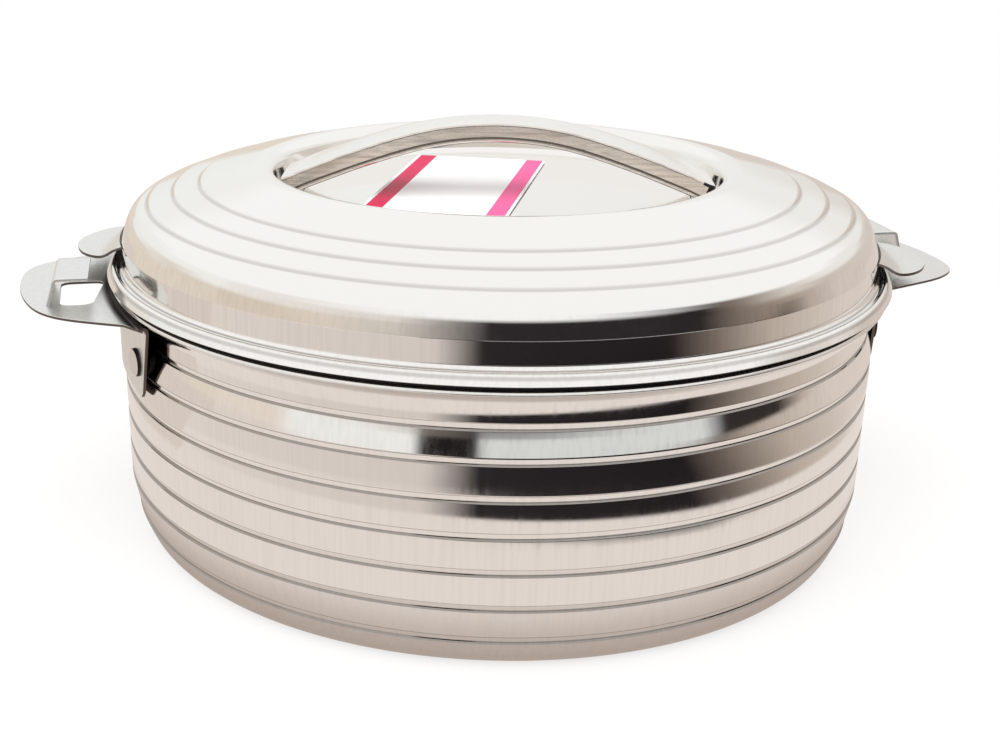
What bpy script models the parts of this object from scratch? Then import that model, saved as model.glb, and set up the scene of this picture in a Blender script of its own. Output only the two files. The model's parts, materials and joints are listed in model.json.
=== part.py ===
"""Insulated chapati casserole: a double-walled steel pan with a twist-lock, double-walled lid.

Metres, +Z up. The origin is the middle of the base where it stands on the table, and +X points
along the axis of the two side handles. Heights of the lid and of the rim are counted from the
seam, the dark line between the lid's bead and the pan's rim. The lid lies unlocked: its ears
stand beside the locking tongues of the side handles, and a left turn takes them under.
"""

import math

import bmesh
import bpy
from mathutils import Matrix, Vector

# Turned shapes: all shells share one count of flats, so nested walls stay parallel
SEGMENTS = 40
FLAT = 2 * math.pi / SEGMENTS
MERGE = 0.000001
SHARP_ANGLE = math.radians(35)
OVERRUN = 0.003

# Fits
GAP = 0.0003
SLACK = 0.0004

# Pan, outside; insets are counted inward from the rim's radius
SEAM_HEIGHT = 0.093
RIM_RADIUS = 0.1387
RIM_CURL_HEIGHT = 0.0021
RIM_CURL_WALL = 0.0011
CURL_LINE_SHARES = ((1.0, 1.0), (0.33, 1.0), (0.0, 0.67), (0.0, 0.33), (1.0, 0.0))
WALL_TOP_INSET = 0.0025
BODY_INSET = 0.0032
NECK_INSET = 0.0053
FOOT_INSET = 0.0052
BASE_EDGE_INSET = 0.0082
BASE_EDGE_HEIGHT = 0.0022
STAND_INSET = 0.0122
STAND_WIDTH = 0.0125
BASE_RISE = 0.0016
NECK_HEIGHT = 0.014
FIRST_BAND_HEIGHT = 0.0101
FOOT_HEIGHT = 0.0099
BAND_COUNT = 5
BAND_BULGE = 0.0006
GROOVE_DEPTH = 0.0008
GROOVE_HALF_WIDTH = 0.0011
SHELL_WALL = 0.0008

# Pan, inside
BOWL_INSET = 0.0195
BOWL_TAPER = 0.0027
BOWL_FLOOR_HEIGHT = 0.014
BOWL_CORNER = 0.016
BOWL_CORNER_POINTS = 3
BOWL_LIP = 0.0026
FILL_HOLE_RADIUS = 0.009
PLUG_FLANGE = 0.0035
PLUG_LIFT = 0.0003
PLUG_DEPTH = 0.0030

# Seal between pan and lid
SEAL_THICKNESS = 0.0005
SEAL_GAP = 0.00025
SEAL_INSET = 0.0004
SEAL_WIDTH = 0.0138

# Lid, outside; heights are above the seam
LID_REST_TURN = math.radians(-13.5)
LID_OVERHANG = 0.0013
LID_BEAD_HEIGHT = 0.0046
LID_BEAD_WIDTH = 0.0034
BEAD_LINE_SHARES = ((1.0, 0.92), (0.70, 1.0), (0.30, 0.91), (0.0, 0.63), (0.0, 0.22), (0.30, 0.0))
LID_WALL_INSET = 0.0057
LID_SHOULDER_INSET = 0.0093
LID_CROWN_HEIGHT = 0.0370
LID_SHOULDER_BULGE = 0.0006
LID_WALL_TOP_SHARE = 0.338
LID_SHOULDER_SHARE = 0.581
RECESS_RADIUS = 0.0815
RECESS_DEPTH = 0.0125
RECESS_SLOPE = 0.0040
RECESS_LINE_SHARES = ((1.0, 0.0), (0.25, 0.55), (0.0, 0.90), (-0.30, 1.0))
LID_STEP_RADIUS_SHARES = (0.508, 0.701, 0.888)
LID_STEP_HEIGHT_SHARES = (0.666, 0.487, 0.260)
STEP_DROP = 0.0012
STEP_RUN = 0.0014
COVER_WALL = 0.0009
FLANGE_WALL = 0.0013

# Lid, inside
PAN_CLEARANCE = 0.0018
PAN_DEPTH = 0.0095
PAN_FLANGE_INSET = 0.0025
PAN_WALL = 0.0008
PAN_CORNER = 0.005
PAN_CORNER_SHARE = 0.3

# Arch handle on the lid
ARCH_RISE = 0.0275
ARCH_FOOT_INSET = 0.0089
ARCH_BEND_RADIUS = 0.0040
ARCH_LEG = 0.0028
ARCH_WIDTH = 0.0210
ARCH_FOOT_WIDTH = 0.0290
ARCH_FLARE_SHARES = (0.1, 0.8)
ARCH_THICKNESS = 0.0070
ARCH_WALL = 0.0008
ARCH_CORNER = 0.0016
ARCH_STATIONS = 6
ARCH_BEND_STATIONS = 4
SCREW_RADIUS = 0.0014
SCREW_HEAD_RADIUS = 0.0028
SCREW_HEAD_HEIGHT = 0.0018
SCREW_HEAD_SHARES = ((0.8, 1.0), (1.0, 0.5), (1.0, 0.0))
SCREW_SIDES = 12
WASHER_RADIUS = 0.0042
WASHER_THICKNESS = 0.0008

# Locking ears on the lid
EAR_TIP_CLEARANCE = 0.0035
EAR_ROOT_HALF_WIDTH = 0.041
EAR_ROOT_DROP = 0.0007
EAR_TAB_DROP = 0.0005
EAR_SHEET = 0.0011
EAR_ROOT_GAP = 0.0002
EAR_REACH_SHARES = (0.0, 0.08, 0.18, 0.30, 0.42, 0.56, 0.70, 0.82, 0.92, 1.0)
EAR_WIDTH_SHARES = (0.95, 0.87, 0.76, 0.65, 0.57, 0.53, 0.47, 0.38, 0.25, 0.10)
EAR_HEIGHT_SHARES = (1.0, 0.82, 0.56, 0.24, 0.04, 0.0, 0.0, 0.0, 0.0, 0.0)
EAR_COLUMNS = 8

# Side handles of the pan
HANDLE_SHEET = 0.0012
HANDLE_DROP = 0.00075
HANDLE_WALL_GAP = 0.0004
HANDLE_HALF_ANGLE = math.radians(23.4)
HANDLE_LENGTH = 0.0340
HANDLE_SIDE_SHARES = (
    (-0.076, -0.863), (0.276, -0.774), (0.541, -0.700), (0.732, -0.623), (0.871, -0.535), (0.953, -0.433),
    (0.991, -0.313), (1.0, -0.166), (0.988, 0.009), (0.944, 0.184), (0.879, 0.341), (0.80, 0.472),
    (0.703, 0.575), (0.571, 0.664), (0.394, 0.741), (0.159, 0.817), (-0.076, 0.885),
)
SKIRT_DEPTH = 0.0245
WINDOW_INSET = 0.0044
WINDOW_MARGIN = 0.0133
WINDOW_SIDE = -0.0055
WINDOW_WIDTH = 0.0295
WINDOW_CORNER = 0.0035
WINDOW_CORNER_POINTS = 4
TONGUE_CLEARANCE = 0.0005
TONGUE_SIDE_GAP = 0.0008
TONGUE_SET_BACK = 0.0045
TONGUE_SLOPE = 0.0026
TONGUE_BEND_SHARES = (0.33, 1.33)
RIVET_ANGLE = math.radians(17.5)
RIVET_DROP = 0.0165
RIVET_RADIUS = 0.0024
RIVET_HEAD_RADIUS = 0.0055
RIVET_HEAD_HEIGHT = 0.0022
RIVET_HEAD_SHARES = ((1.0, 0.0), (0.86, 0.5), (0.5, 0.9), (0.15, 1.0))
RIVET_TAIL_RADIUS = 0.0034
RIVET_TAIL_HEIGHT = 0.0012
RIVET_WASHER_RADIUS = 0.0052
RIVET_WASHER_THICKNESS = 0.0009
RIVET_SIDES = 16

# Striped card that lies in the lid's recess, as shares of the radius of the recess floor
CARD_LENGTH_SHARE = 1.303
CARD_WIDTH_SHARE = 0.671
CARD_FORWARD_SHARE = 0.1355
CARD_LEFT_SHARE = 0.2065
CARD_TURN = math.radians(81)
CARD_THICKNESS = 0.0004

STEEL = ("polished_steel", (0.80, 0.79, 0.77), 0.12, 1.0)
BOWL_STEEL = ("bowl_steel", (0.76, 0.76, 0.75), 0.22, 1.0)
FASTENER_STEEL = ("fastener_steel", (0.66, 0.66, 0.66), 0.30, 1.0)
FOAM = ("foam", (0.86, 0.74, 0.48), 0.95, 0.0)
SEAL_RUBBER = ("seal_rubber", (0.02, 0.02, 0.02), 0.60, 0.0)
PLUG_PLASTIC = ("plug_plastic", (0.08, 0.08, 0.09), 0.50, 0.0)
CARD_PAPER = ("card_paper", (0.93, 0.92, 0.93), 0.55, 0.0)


def clear_scene():
    for thing in list(bpy.data.objects):
        bpy.data.objects.remove(thing, do_unlink=True)


def material_for(finish):
    name, colour, roughness, metallic = finish
    made = bpy.data.materials.get(name) or bpy.data.materials.new(name)
    made.use_nodes = True
    made.diffuse_color = (*colour, 1.0)
    shader = made.node_tree.nodes["Principled BSDF"]
    shader.inputs["Base Color"].default_value = (*colour, 1.0)
    shader.inputs["Roughness"].default_value = roughness
    shader.inputs["Metallic"].default_value = metallic
    return made


def add_object(bm, name, finish=None, parent=None):
    """Closes up a mesh, turns its faces outward and adds it as one named object."""
    bmesh.ops.remove_doubles(bm, verts=bm.verts, dist=MERGE)
    bmesh.ops.recalc_face_normals(bm, faces=bm.faces)
    mesh = bpy.data.meshes.new(name)
    bm.to_mesh(mesh)
    bm.free()
    made = bpy.data.objects.new(name, mesh)
    bpy.context.scene.collection.objects.link(made)
    if finish is None:
        made.hide_render = True
        made.display_type = "WIRE"
    else:
        mesh.materials.append(material_for(finish))
        mesh.shade_smooth()
        mesh.set_sharp_from_angle(angle=SHARP_ANGLE)
    made.parent = parent
    return made


def frame_empty(name, turn=0.0):
    made = bpy.data.objects.new(name, None)
    made.rotation_euler = (0.0, 0.0, turn)
    bpy.context.scene.collection.objects.link(made)
    return made


def combine(target, tool, operation):
    change = target.modifiers.new(operation.lower() + "_" + tool.name, "BOOLEAN")
    change.operation = operation
    change.solver = "EXACT"
    change.object = tool


def turned(name, profile, finish=None, parent=None):
    """Spins a list of (radius, height) points about Z. A list that starts and ends on the axis stays
    open there, and any other is closed into a ring."""
    bm = bmesh.new()
    points = [bm.verts.new((radius, 0.0, height)) for radius, height in profile]
    pairs = list(zip(points, points[1:]))
    if profile[0][0] > 0 or profile[-1][0] > 0:
        pairs.append((points[-1], points[0]))
    edges = [bm.edges.new(pair) for pair in pairs]
    bmesh.ops.spin(
        bm,
        geom=points + edges,
        cent=(0.0, 0.0, 0.0),
        axis=(0.0, 0.0, 1.0),
        dvec=(0.0, 0.0, 0.0),
        angle=2 * math.pi,
        steps=SEGMENTS,
        use_merge=True,
        use_duplicate=False,
    )
    return add_object(bm, name, finish, parent)


def flat_radius(radius, angle):
    """Distance from the axis to a turned wall's flat side, in the direction of angle."""
    off_middle = math.fmod(angle + 10 * math.pi, FLAT) - FLAT / 2
    return radius * math.cos(FLAT / 2) / math.cos(off_middle)


def wall_angles(low, high):
    """The angles of a turned wall's corners between two angles, with both ends."""
    first = math.floor(low / FLAT) + 1
    last = math.ceil(high / FLAT) - 1
    return [low] + [step * FLAT for step in range(first, last + 1)] + [high]


def polar(radius, angle):
    return (radius * math.cos(angle), radius * math.sin(angle))


def extruded(name, outline, low, high, finish=None, parent=None):
    bm = bmesh.new()
    base = bm.faces.new([bm.verts.new((x, y, low)) for x, y in outline])
    grown = bmesh.ops.extrude_face_region(bm, geom=[base])
    moved = [item for item in grown["geom"] if isinstance(item, bmesh.types.BMVert)]
    bmesh.ops.translate(bm, verts=moved, vec=(0.0, 0.0, high - low))
    return add_object(bm, name, finish, parent)


def rounded_box(near, far, side, width, corner, corner_points):
    """Outline of a rectangle from near to far along X and side to side + width along Y."""
    outline = []
    centres = (
        (far - corner, side + width - corner, 0),
        (near + corner, side + width - corner, 1),
        (near + corner, side + corner, 2),
        (far - corner, side + corner, 3),
    )
    for centre_x, centre_y, quarter in centres:
        for step in range(corner_points):
            angle = (quarter + step / (corner_points - 1)) * math.pi / 2
            x, y = polar(corner, angle)
            outline.append((centre_x + x, centre_y + y))
    return outline


def spindle(name, steps, sides, place, finish=None, parent=None):
    """Stacks rings of (radius, height) into a solid along Z and carries it by the matrix place."""
    bm = bmesh.new()
    rings = []
    for radius, height in steps:
        ring = []
        for side in range(sides):
            x, y = polar(radius, side * 2 * math.pi / sides)
            ring.append(bm.verts.new((x, y, height)))
        rings.append(ring)
    for lower, upper in zip(rings, rings[1:]):
        for side in range(sides):
            after = (side + 1) % sides
            bm.faces.new((lower[side], lower[after], upper[after], upper[side]))
    bm.faces.new(rings[0])
    bm.faces.new(rings[-1])
    bmesh.ops.transform(bm, matrix=place, verts=bm.verts)
    return add_object(bm, name, finish, parent)


def washer(name, outer, inner, low, high, sides, place, parent=None):
    """A flat washer along Z, carried by the matrix place."""
    bm = bmesh.new()
    corners = ((outer, low), (outer, high), (inner, high), (inner, low))
    rings = []
    for radius, height in corners:
        ring = []
        for side in range(sides):
            x, y = polar(radius, side * 2 * math.pi / sides)
            ring.append(bm.verts.new((x, y, height)))
        rings.append(ring)
    for one, two in zip(rings, rings[1:] + rings[:1]):
        for side in range(sides):
            after = (side + 1) % sides
            bm.faces.new((one[side], one[after], two[after], two[side]))
    bmesh.ops.transform(bm, matrix=place, verts=bm.verts)
    return add_object(bm, name, FASTENER_STEEL, parent)


# Heights that several pieces share, above the table
SEAM_HALF = SEAL_THICKNESS / 2 + SEAL_GAP
RIM_TOP = SEAM_HEIGHT - SEAM_HALF
RIM_CURL_BOTTOM = RIM_TOP - RIM_CURL_HEIGHT
LID_BOTTOM = SEAM_HEIGHT + SEAM_HALF
LID_BEAD_TOP = SEAM_HEIGHT + LID_BEAD_HEIGHT
LID_WALL_TOP = SEAM_HEIGHT + LID_WALL_TOP_SHARE * LID_CROWN_HEIGHT
LID_SHOULDER = SEAM_HEIGHT + LID_SHOULDER_SHARE * LID_CROWN_HEIGHT
LID_CROWN = SEAM_HEIGHT + LID_CROWN_HEIGHT
RECESS_FLOOR = LID_CROWN - RECESS_DEPTH
NECK_GROOVE = SEAM_HEIGHT - NECK_HEIGHT
FIRST_GROOVE = NECK_GROOVE - FIRST_BAND_HEIGHT
LAST_GROOVE = FOOT_HEIGHT
BAND_PITCH = (FIRST_GROOVE - LAST_GROOVE) / BAND_COUNT
SHELL_TOP = RIM_TOP - SHELL_WALL - GAP
HANDLE_UPPER = RIM_CURL_BOTTOM - HANDLE_DROP
HANDLE_LOWER = HANDLE_UPPER - HANDLE_SHEET
EAR_ROOT_TOP = LID_WALL_TOP - EAR_ROOT_DROP
EAR_TAB_TOP = LID_BEAD_TOP - EAR_TAB_DROP
TONGUE_LOWER = EAR_TAB_TOP + TONGUE_CLEARANCE

# Radii and reaches that several pieces share
SHELL_TOP_RADIUS = RIM_RADIUS - RIM_CURL_WALL - GAP
WALL_TOP_RADIUS = RIM_RADIUS - WALL_TOP_INSET
BODY_RADIUS = RIM_RADIUS - BODY_INSET
NECK_RADIUS = RIM_RADIUS - NECK_INSET
FOOT_RADIUS = RIM_RADIUS - FOOT_INSET
BASE_EDGE_RADIUS = RIM_RADIUS - BASE_EDGE_INSET
STAND_RADIUS = RIM_RADIUS - STAND_INSET
WALL_INSIDE = GROOVE_DEPTH + SHELL_WALL
BOWL_RADIUS = RIM_RADIUS - BOWL_INSET
BOWL_FLOOR_RADIUS = BOWL_RADIUS - BOWL_TAPER
LID_RADIUS = RIM_RADIUS + LID_OVERHANG
LID_WALL_RADIUS = LID_RADIUS - LID_WALL_INSET
LID_SHOULDER_RADIUS = LID_RADIUS - LID_SHOULDER_INSET
PAN_RADIUS = BOWL_RADIUS - PAN_CLEARANCE
PAN_FLANGE_RADIUS = LID_WALL_RADIUS - PAN_FLANGE_INSET
ARCH_FOOT_REACH = RECESS_RADIUS - ARCH_FOOT_INSET
RECESS_FLOOR_RADIUS = RECESS_RADIUS - RECESS_SLOPE
CARD_LENGTH = CARD_LENGTH_SHARE * RECESS_FLOOR_RADIUS
CARD_WIDTH = CARD_WIDTH_SHARE * RECESS_FLOOR_RADIUS
CARD_FORWARD = CARD_FORWARD_SHARE * RECESS_FLOOR_RADIUS
CARD_LEFT = CARD_LEFT_SHARE * RECESS_FLOOR_RADIUS
HANDLE_INNER_RADIUS = WALL_TOP_RADIUS + HANDLE_WALL_GAP
HANDLE_REACH = HANDLE_INNER_RADIUS + HANDLE_LENGTH
WINDOW_NEAR = HANDLE_INNER_RADIUS + WINDOW_INSET
WINDOW_FAR = HANDLE_REACH - WINDOW_MARGIN
TONGUE_NEAR = WINDOW_NEAR + TONGUE_SET_BACK
EAR_TIP_RADIUS = WINDOW_FAR - EAR_TIP_CLEARANCE


def shifted(line, distance):
    """The line of (radius, height) points moved to its right-hand side by distance, with mitred
    corners."""
    slopes = []
    for one, two in zip(line, line[1:]):
        slopes.append((Vector(two) - Vector(one)).normalized())
    moved = []
    for index, point in enumerate(line):
        before = slopes[max(index - 1, 0)]
        after = slopes[min(index, len(slopes) - 1)]
        along = before + after
        side = Vector((along.y, -along.x))
        moved.append(tuple(Vector(point) + side * (2 * distance / side.length_squared)))
    return moved


def shell_outer_line():
    """The ridged wall from the rim down to the base: a flared neck, then swelling bands with a
    narrow groove under each."""
    line = [
        (SHELL_TOP_RADIUS, SHELL_TOP),
        (SHELL_TOP_RADIUS, RIM_CURL_BOTTOM + GAP),
        (WALL_TOP_RADIUS, RIM_CURL_BOTTOM - GAP),
    ]
    grooves = [(NECK_RADIUS, NECK_GROOVE)]
    for count in range(BAND_COUNT):
        grooves.append((BODY_RADIUS, FIRST_GROOVE - count * BAND_PITCH))
    grooves.append((FOOT_RADIUS, LAST_GROOVE))
    for count, (radius, height) in enumerate(grooves):
        below = grooves[count + 1] if count + 1 < len(grooves) else None
        line.append((radius, height + GROOVE_HALF_WIDTH))
        line.append((radius - GROOVE_DEPTH, height))
        line.append((radius, height - GROOVE_HALF_WIDTH))
        if below:
            middle_radius = (radius + below[0]) / 2 + BAND_BULGE
            line.append((middle_radius, (height + below[1]) / 2))
    line.append((BASE_EDGE_RADIUS, BASE_EDGE_HEIGHT))
    line.append((STAND_RADIUS, 0.0))
    return line


def outer_shell():
    inner_edge = STAND_RADIUS - STAND_WIDTH
    line = shell_outer_line()
    line += [
        (inner_edge, 0.0),
        (inner_edge - BASE_RISE, BASE_RISE),
        (FILL_HOLE_RADIUS, BASE_RISE),
        (FILL_HOLE_RADIUS, BASE_RISE + SHELL_WALL),
        (inner_edge - BASE_RISE, BASE_RISE + SHELL_WALL),
        (BASE_EDGE_RADIUS - WALL_INSIDE - BASE_RISE, BASE_RISE + SHELL_WALL),
        (FOOT_RADIUS - WALL_INSIDE, LAST_GROOVE),
        (BODY_RADIUS - WALL_INSIDE, LAST_GROOVE + BAND_PITCH),
        (BODY_RADIUS - WALL_INSIDE, FIRST_GROOVE),
        (NECK_RADIUS - WALL_INSIDE, NECK_GROOVE),
        (SHELL_TOP_RADIUS - WALL_INSIDE, SHELL_TOP),
    ]
    made = turned("outer_shell", line, STEEL)
    for cutter in rivet_holes("shell_hole", RIVET_RADIUS + GAP):
        combine(made, cutter, "DIFFERENCE")
    return made


def bowl_line():
    """The bowl's inner face, from the rim down to the middle of the floor."""
    line = [
        (RIM_RADIUS - RIM_CURL_WALL, RIM_TOP),
        (BOWL_RADIUS + BOWL_LIP, RIM_TOP),
        (BOWL_RADIUS, RIM_TOP - BOWL_LIP),
        (BOWL_FLOOR_RADIUS, BOWL_FLOOR_HEIGHT + BOWL_CORNER),
    ]
    for step in range(1, BOWL_CORNER_POINTS + 1):
        across, down = polar(BOWL_CORNER, step * math.pi / 2 / BOWL_CORNER_POINTS)
        line.append((BOWL_FLOOR_RADIUS - BOWL_CORNER + across, BOWL_FLOOR_HEIGHT + BOWL_CORNER - down))
    line.append((0.0, BOWL_FLOOR_HEIGHT))
    return line


def inner_bowl():
    """Drawn bowl whose rim lies flat over the shell and curls down round its edge."""
    curl = []
    for across, down in CURL_LINE_SHARES:
        curl.append((RIM_RADIUS - across * RIM_CURL_WALL, RIM_TOP - down * RIM_CURL_HEIGHT))
    under = shifted(bowl_line(), -SHELL_WALL)
    return turned("inner_bowl", under[::-1] + curl[:-1] + bowl_line(), BOWL_STEEL)


def body_insulation():
    """Foam between shell and bowl, with room for the rivets' tails."""
    inside = WALL_INSIDE + GAP
    floor = BASE_RISE + SHELL_WALL + GAP
    outer = [
        (SHELL_TOP_RADIUS - inside, SHELL_TOP),
        (NECK_RADIUS - inside, NECK_GROOVE),
        (BODY_RADIUS - inside, FIRST_GROOVE),
        (BODY_RADIUS - inside, LAST_GROOVE + BAND_PITCH),
        (FOOT_RADIUS - inside, LAST_GROOVE),
        (BASE_EDGE_RADIUS - inside - BASE_RISE, floor),
        (0.0, floor),
    ]
    bowl_side = shifted(bowl_line(), -SHELL_WALL - GAP)[1:]
    made = turned("body_insulation", bowl_side[::-1] + outer, FOAM)
    for cutter in rivet_holes("foam_pocket", RIVET_WASHER_RADIUS + SLACK):
        combine(made, cutter, "DIFFERENCE")
    pocket_radius = FILL_HOLE_RADIUS + GAP
    pocket_steps = ((pocket_radius, 0.0), (pocket_radius, BASE_RISE + PLUG_DEPTH + GAP))
    plug_pocket = spindle("plug_pocket", pocket_steps, SEGMENTS, Matrix.Identity(4))
    combine(made, plug_pocket, "DIFFERENCE")
    return made


def fill_plug():
    """Plastic plug in the hole that the foam was poured through."""
    top = BASE_RISE + PLUG_DEPTH
    flange = FILL_HOLE_RADIUS + PLUG_FLANGE
    flange_top = BASE_RISE - GAP
    steps = [
        (0.0, top),
        (FILL_HOLE_RADIUS - GAP, top),
        (FILL_HOLE_RADIUS - GAP, flange_top),
        (flange, flange_top),
        (flange, PLUG_LIFT),
        (0.0, PLUG_LIFT),
    ]
    return turned("fill_plug", steps, PLUG_PLASTIC)


def rim_seal(parent):
    """Flat ring that lies between the pan's rim and the lid's edge."""
    low = SEAM_HEIGHT - SEAL_THICKNESS / 2
    high = SEAM_HEIGHT + SEAL_THICKNESS / 2
    outer = RIM_RADIUS - SEAL_INSET
    inner = outer - SEAL_WIDTH
    ring = [(outer, high), (outer, low), (inner, low), (inner, high)]
    return turned("rim_seal", ring, SEAL_RUBBER, parent)


def handle_outline():
    """Seen from above: an arc against the wall, sides that draw in, and a broad, skewed nose. Its
    points are shares of the length outward and of the half-width at the wall."""
    outline = []
    for angle in wall_angles(-HANDLE_HALF_ANGLE, HANDLE_HALF_ANGLE):
        outline.append(polar(flat_radius(HANDLE_INNER_RADIUS, angle), angle))
    outline = outline[::-1]
    half_width = HANDLE_INNER_RADIUS * math.sin(HANDLE_HALF_ANGLE)
    for outward, aside in HANDLE_SIDE_SHARES:
        outline.append((HANDLE_INNER_RADIUS + outward * HANDLE_LENGTH, aside * half_width))
    return outline


def tongue_solid(name):
    """The strip lanced out of the window and raised, seen from the side and drawn out along Y."""
    low = TONGUE_LOWER
    high = low + HANDLE_SHEET
    middle = HANDLE_UPPER - HANDLE_SHEET / 2
    upper_bend_share, lower_bend_share = TONGUE_BEND_SHARES
    side = (
        (TONGUE_NEAR, low),
        (TONGUE_NEAR, high),
        (WINDOW_FAR - HANDLE_SHEET * upper_bend_share, high),
        (WINDOW_FAR + TONGUE_SLOPE, middle),
        (WINDOW_FAR + TONGUE_SLOPE - HANDLE_SHEET, middle),
        (WINDOW_FAR - HANDLE_SHEET * lower_bend_share, low),
    )
    start = WINDOW_SIDE + TONGUE_SIDE_GAP
    width = WINDOW_WIDTH - 2 * TONGUE_SIDE_GAP
    bm = bmesh.new()
    base = bm.faces.new([bm.verts.new((x, start, z)) for x, z in side])
    grown = bmesh.ops.extrude_face_region(bm, geom=[base])
    moved = [item for item in grown["geom"] if isinstance(item, bmesh.types.BMVert)]
    bmesh.ops.translate(bm, verts=moved, vec=(0.0, width, 0.0))
    return add_object(bm, name)


def skirt_solid(name):
    """The flange that lies on the pan's wall and takes the rivets."""
    inner = []
    outer = []
    for angle in wall_angles(-HANDLE_HALF_ANGLE, HANDLE_HALF_ANGLE):
        inner.append(polar(flat_radius(HANDLE_INNER_RADIUS, angle), angle))
        outer.append(polar(flat_radius(HANDLE_INNER_RADIUS + HANDLE_SHEET, angle), angle))
    low = HANDLE_UPPER - SKIRT_DEPTH
    high = HANDLE_UPPER - HANDLE_SHEET / 2
    return extruded(name, inner + outer[::-1], low, high)


def side_handle(name, turn):
    """Stamped plate with a window, the tongue raised from it, and the riveted skirt below."""
    made = extruded(name, handle_outline(), HANDLE_LOWER, HANDLE_UPPER, STEEL)
    window = rounded_box(
        WINDOW_NEAR, WINDOW_FAR, WINDOW_SIDE, WINDOW_WIDTH, WINDOW_CORNER, WINDOW_CORNER_POINTS
    )
    opening = extruded(name + "_window", window, HANDLE_LOWER - OVERRUN, HANDLE_UPPER + OVERRUN)
    skirt = skirt_solid(name + "_skirt")
    tongue = tongue_solid(name + "_tongue")
    combine(made, opening, "DIFFERENCE")
    combine(made, skirt, "UNION")
    combine(made, tongue, "UNION")
    for piece in (opening, skirt, tongue):
        piece.parent = made
    for cutter in handle_holes(name):
        combine(made, cutter, "DIFFERENCE")
        cutter.parent = made
    made.rotation_euler = (0.0, 0.0, turn)
    return made


def rivet_place(angle):
    """Carries a rivet's own Z axis onto the outward direction at angle, from the skirt's face."""
    outward = Vector((math.cos(angle), math.sin(angle), 0.0))
    start = outward * (HANDLE_INNER_RADIUS + HANDLE_SHEET)
    start.z = HANDLE_UPPER - RIVET_DROP
    return Matrix.Translation(start) @ outward.to_track_quat("Z", "Y").to_matrix().to_4x4()


def handle_holes(name):
    steps = ((RIVET_RADIUS + GAP, -OVERRUN), (RIVET_RADIUS + GAP, OVERRUN))
    made = []
    for label, angle in (("front", -RIVET_ANGLE), ("rear", RIVET_ANGLE)):
        hole = spindle(name + "_hole_" + label, steps, RIVET_SIDES, rivet_place(angle))
        made.append(hole)
    return made


def rivet_angles():
    """The four rivets, by the name of their place."""
    return (
        ("right_front", -RIVET_ANGLE),
        ("right_rear", RIVET_ANGLE),
        ("left_rear", math.pi - RIVET_ANGLE),
        ("left_front", math.pi + RIVET_ANGLE),
    )


def rivet_tail_start():
    """How far inside the skirt's face the wall ends, where a rivet's washer lies."""
    wall_inside = (NECK_RADIUS - GROOVE_DEPTH - SHELL_WALL) * math.cos(FLAT / 2)
    return HANDLE_INNER_RADIUS + HANDLE_SHEET - wall_inside + GAP + BAND_BULGE


def rivet_holes(name, radius):
    depth = rivet_tail_start() + RIVET_WASHER_THICKNESS + RIVET_TAIL_HEIGHT + GAP + SLACK
    made = []
    for place, angle in rivet_angles():
        steps = ((radius, -depth), (radius, OVERRUN))
        made.append(spindle(name + "_" + place, steps, RIVET_SIDES, rivet_place(angle)))
    return made


def rivets():
    """Domed rivets with the washers that their tails are set on inside the shell."""
    washer_low = -(rivet_tail_start() + RIVET_WASHER_THICKNESS)
    tail = washer_low - GAP
    steps = [
        (RIVET_TAIL_RADIUS, tail - RIVET_TAIL_HEIGHT),
        (RIVET_TAIL_RADIUS, tail),
        (RIVET_RADIUS, tail),
        (RIVET_RADIUS, GAP),
    ]
    for radius_share, height_share in RIVET_HEAD_SHARES:
        steps.append((RIVET_HEAD_RADIUS * radius_share, GAP + RIVET_HEAD_HEIGHT * height_share))
    for label, angle in rivet_angles():
        place = rivet_place(angle)
        spindle("rivet_" + label, steps, RIVET_SIDES, place, FASTENER_STEEL)
        washer(
            "rivet_washer_" + label,
            RIVET_WASHER_RADIUS,
            RIVET_RADIUS + GAP,
            washer_low,
            washer_low + RIVET_WASHER_THICKNESS,
            RIVET_SIDES,
            place,
        )


def crown_line():
    """The lid's top from the middle of the recess to the head of its wall."""
    line = [(0.0, RECESS_FLOOR)]
    for inward, upward in RECESS_LINE_SHARES:
        line.append((RECESS_RADIUS - inward * RECESS_SLOPE, RECESS_FLOOR + upward * RECESS_DEPTH))
    span = LID_SHOULDER_RADIUS - RECESS_RADIUS
    rise = LID_CROWN - LID_SHOULDER
    for outward, upward in zip(LID_STEP_RADIUS_SHARES, LID_STEP_HEIGHT_SHARES):
        radius = RECESS_RADIUS + outward * span
        height = LID_SHOULDER + upward * rise
        line.append((radius - STEP_RUN / 2, height + STEP_DROP / 2))
        line.append((radius + STEP_RUN / 2, height - STEP_DROP / 2))
    middle_radius = (LID_SHOULDER_RADIUS + LID_WALL_RADIUS) / 2 + LID_SHOULDER_BULGE
    line += [
        (LID_SHOULDER_RADIUS, LID_SHOULDER),
        (middle_radius, (LID_SHOULDER + LID_WALL_TOP) / 2),
        (LID_WALL_RADIUS, LID_WALL_TOP),
    ]
    return line


def foot_places():
    """The feet of the arch, by side."""
    return (
        ("left", Matrix.Translation((-ARCH_FOOT_REACH, 0.0, 0.0))),
        ("right", Matrix.Translation((ARCH_FOOT_REACH, 0.0, 0.0))),
    )


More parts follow.
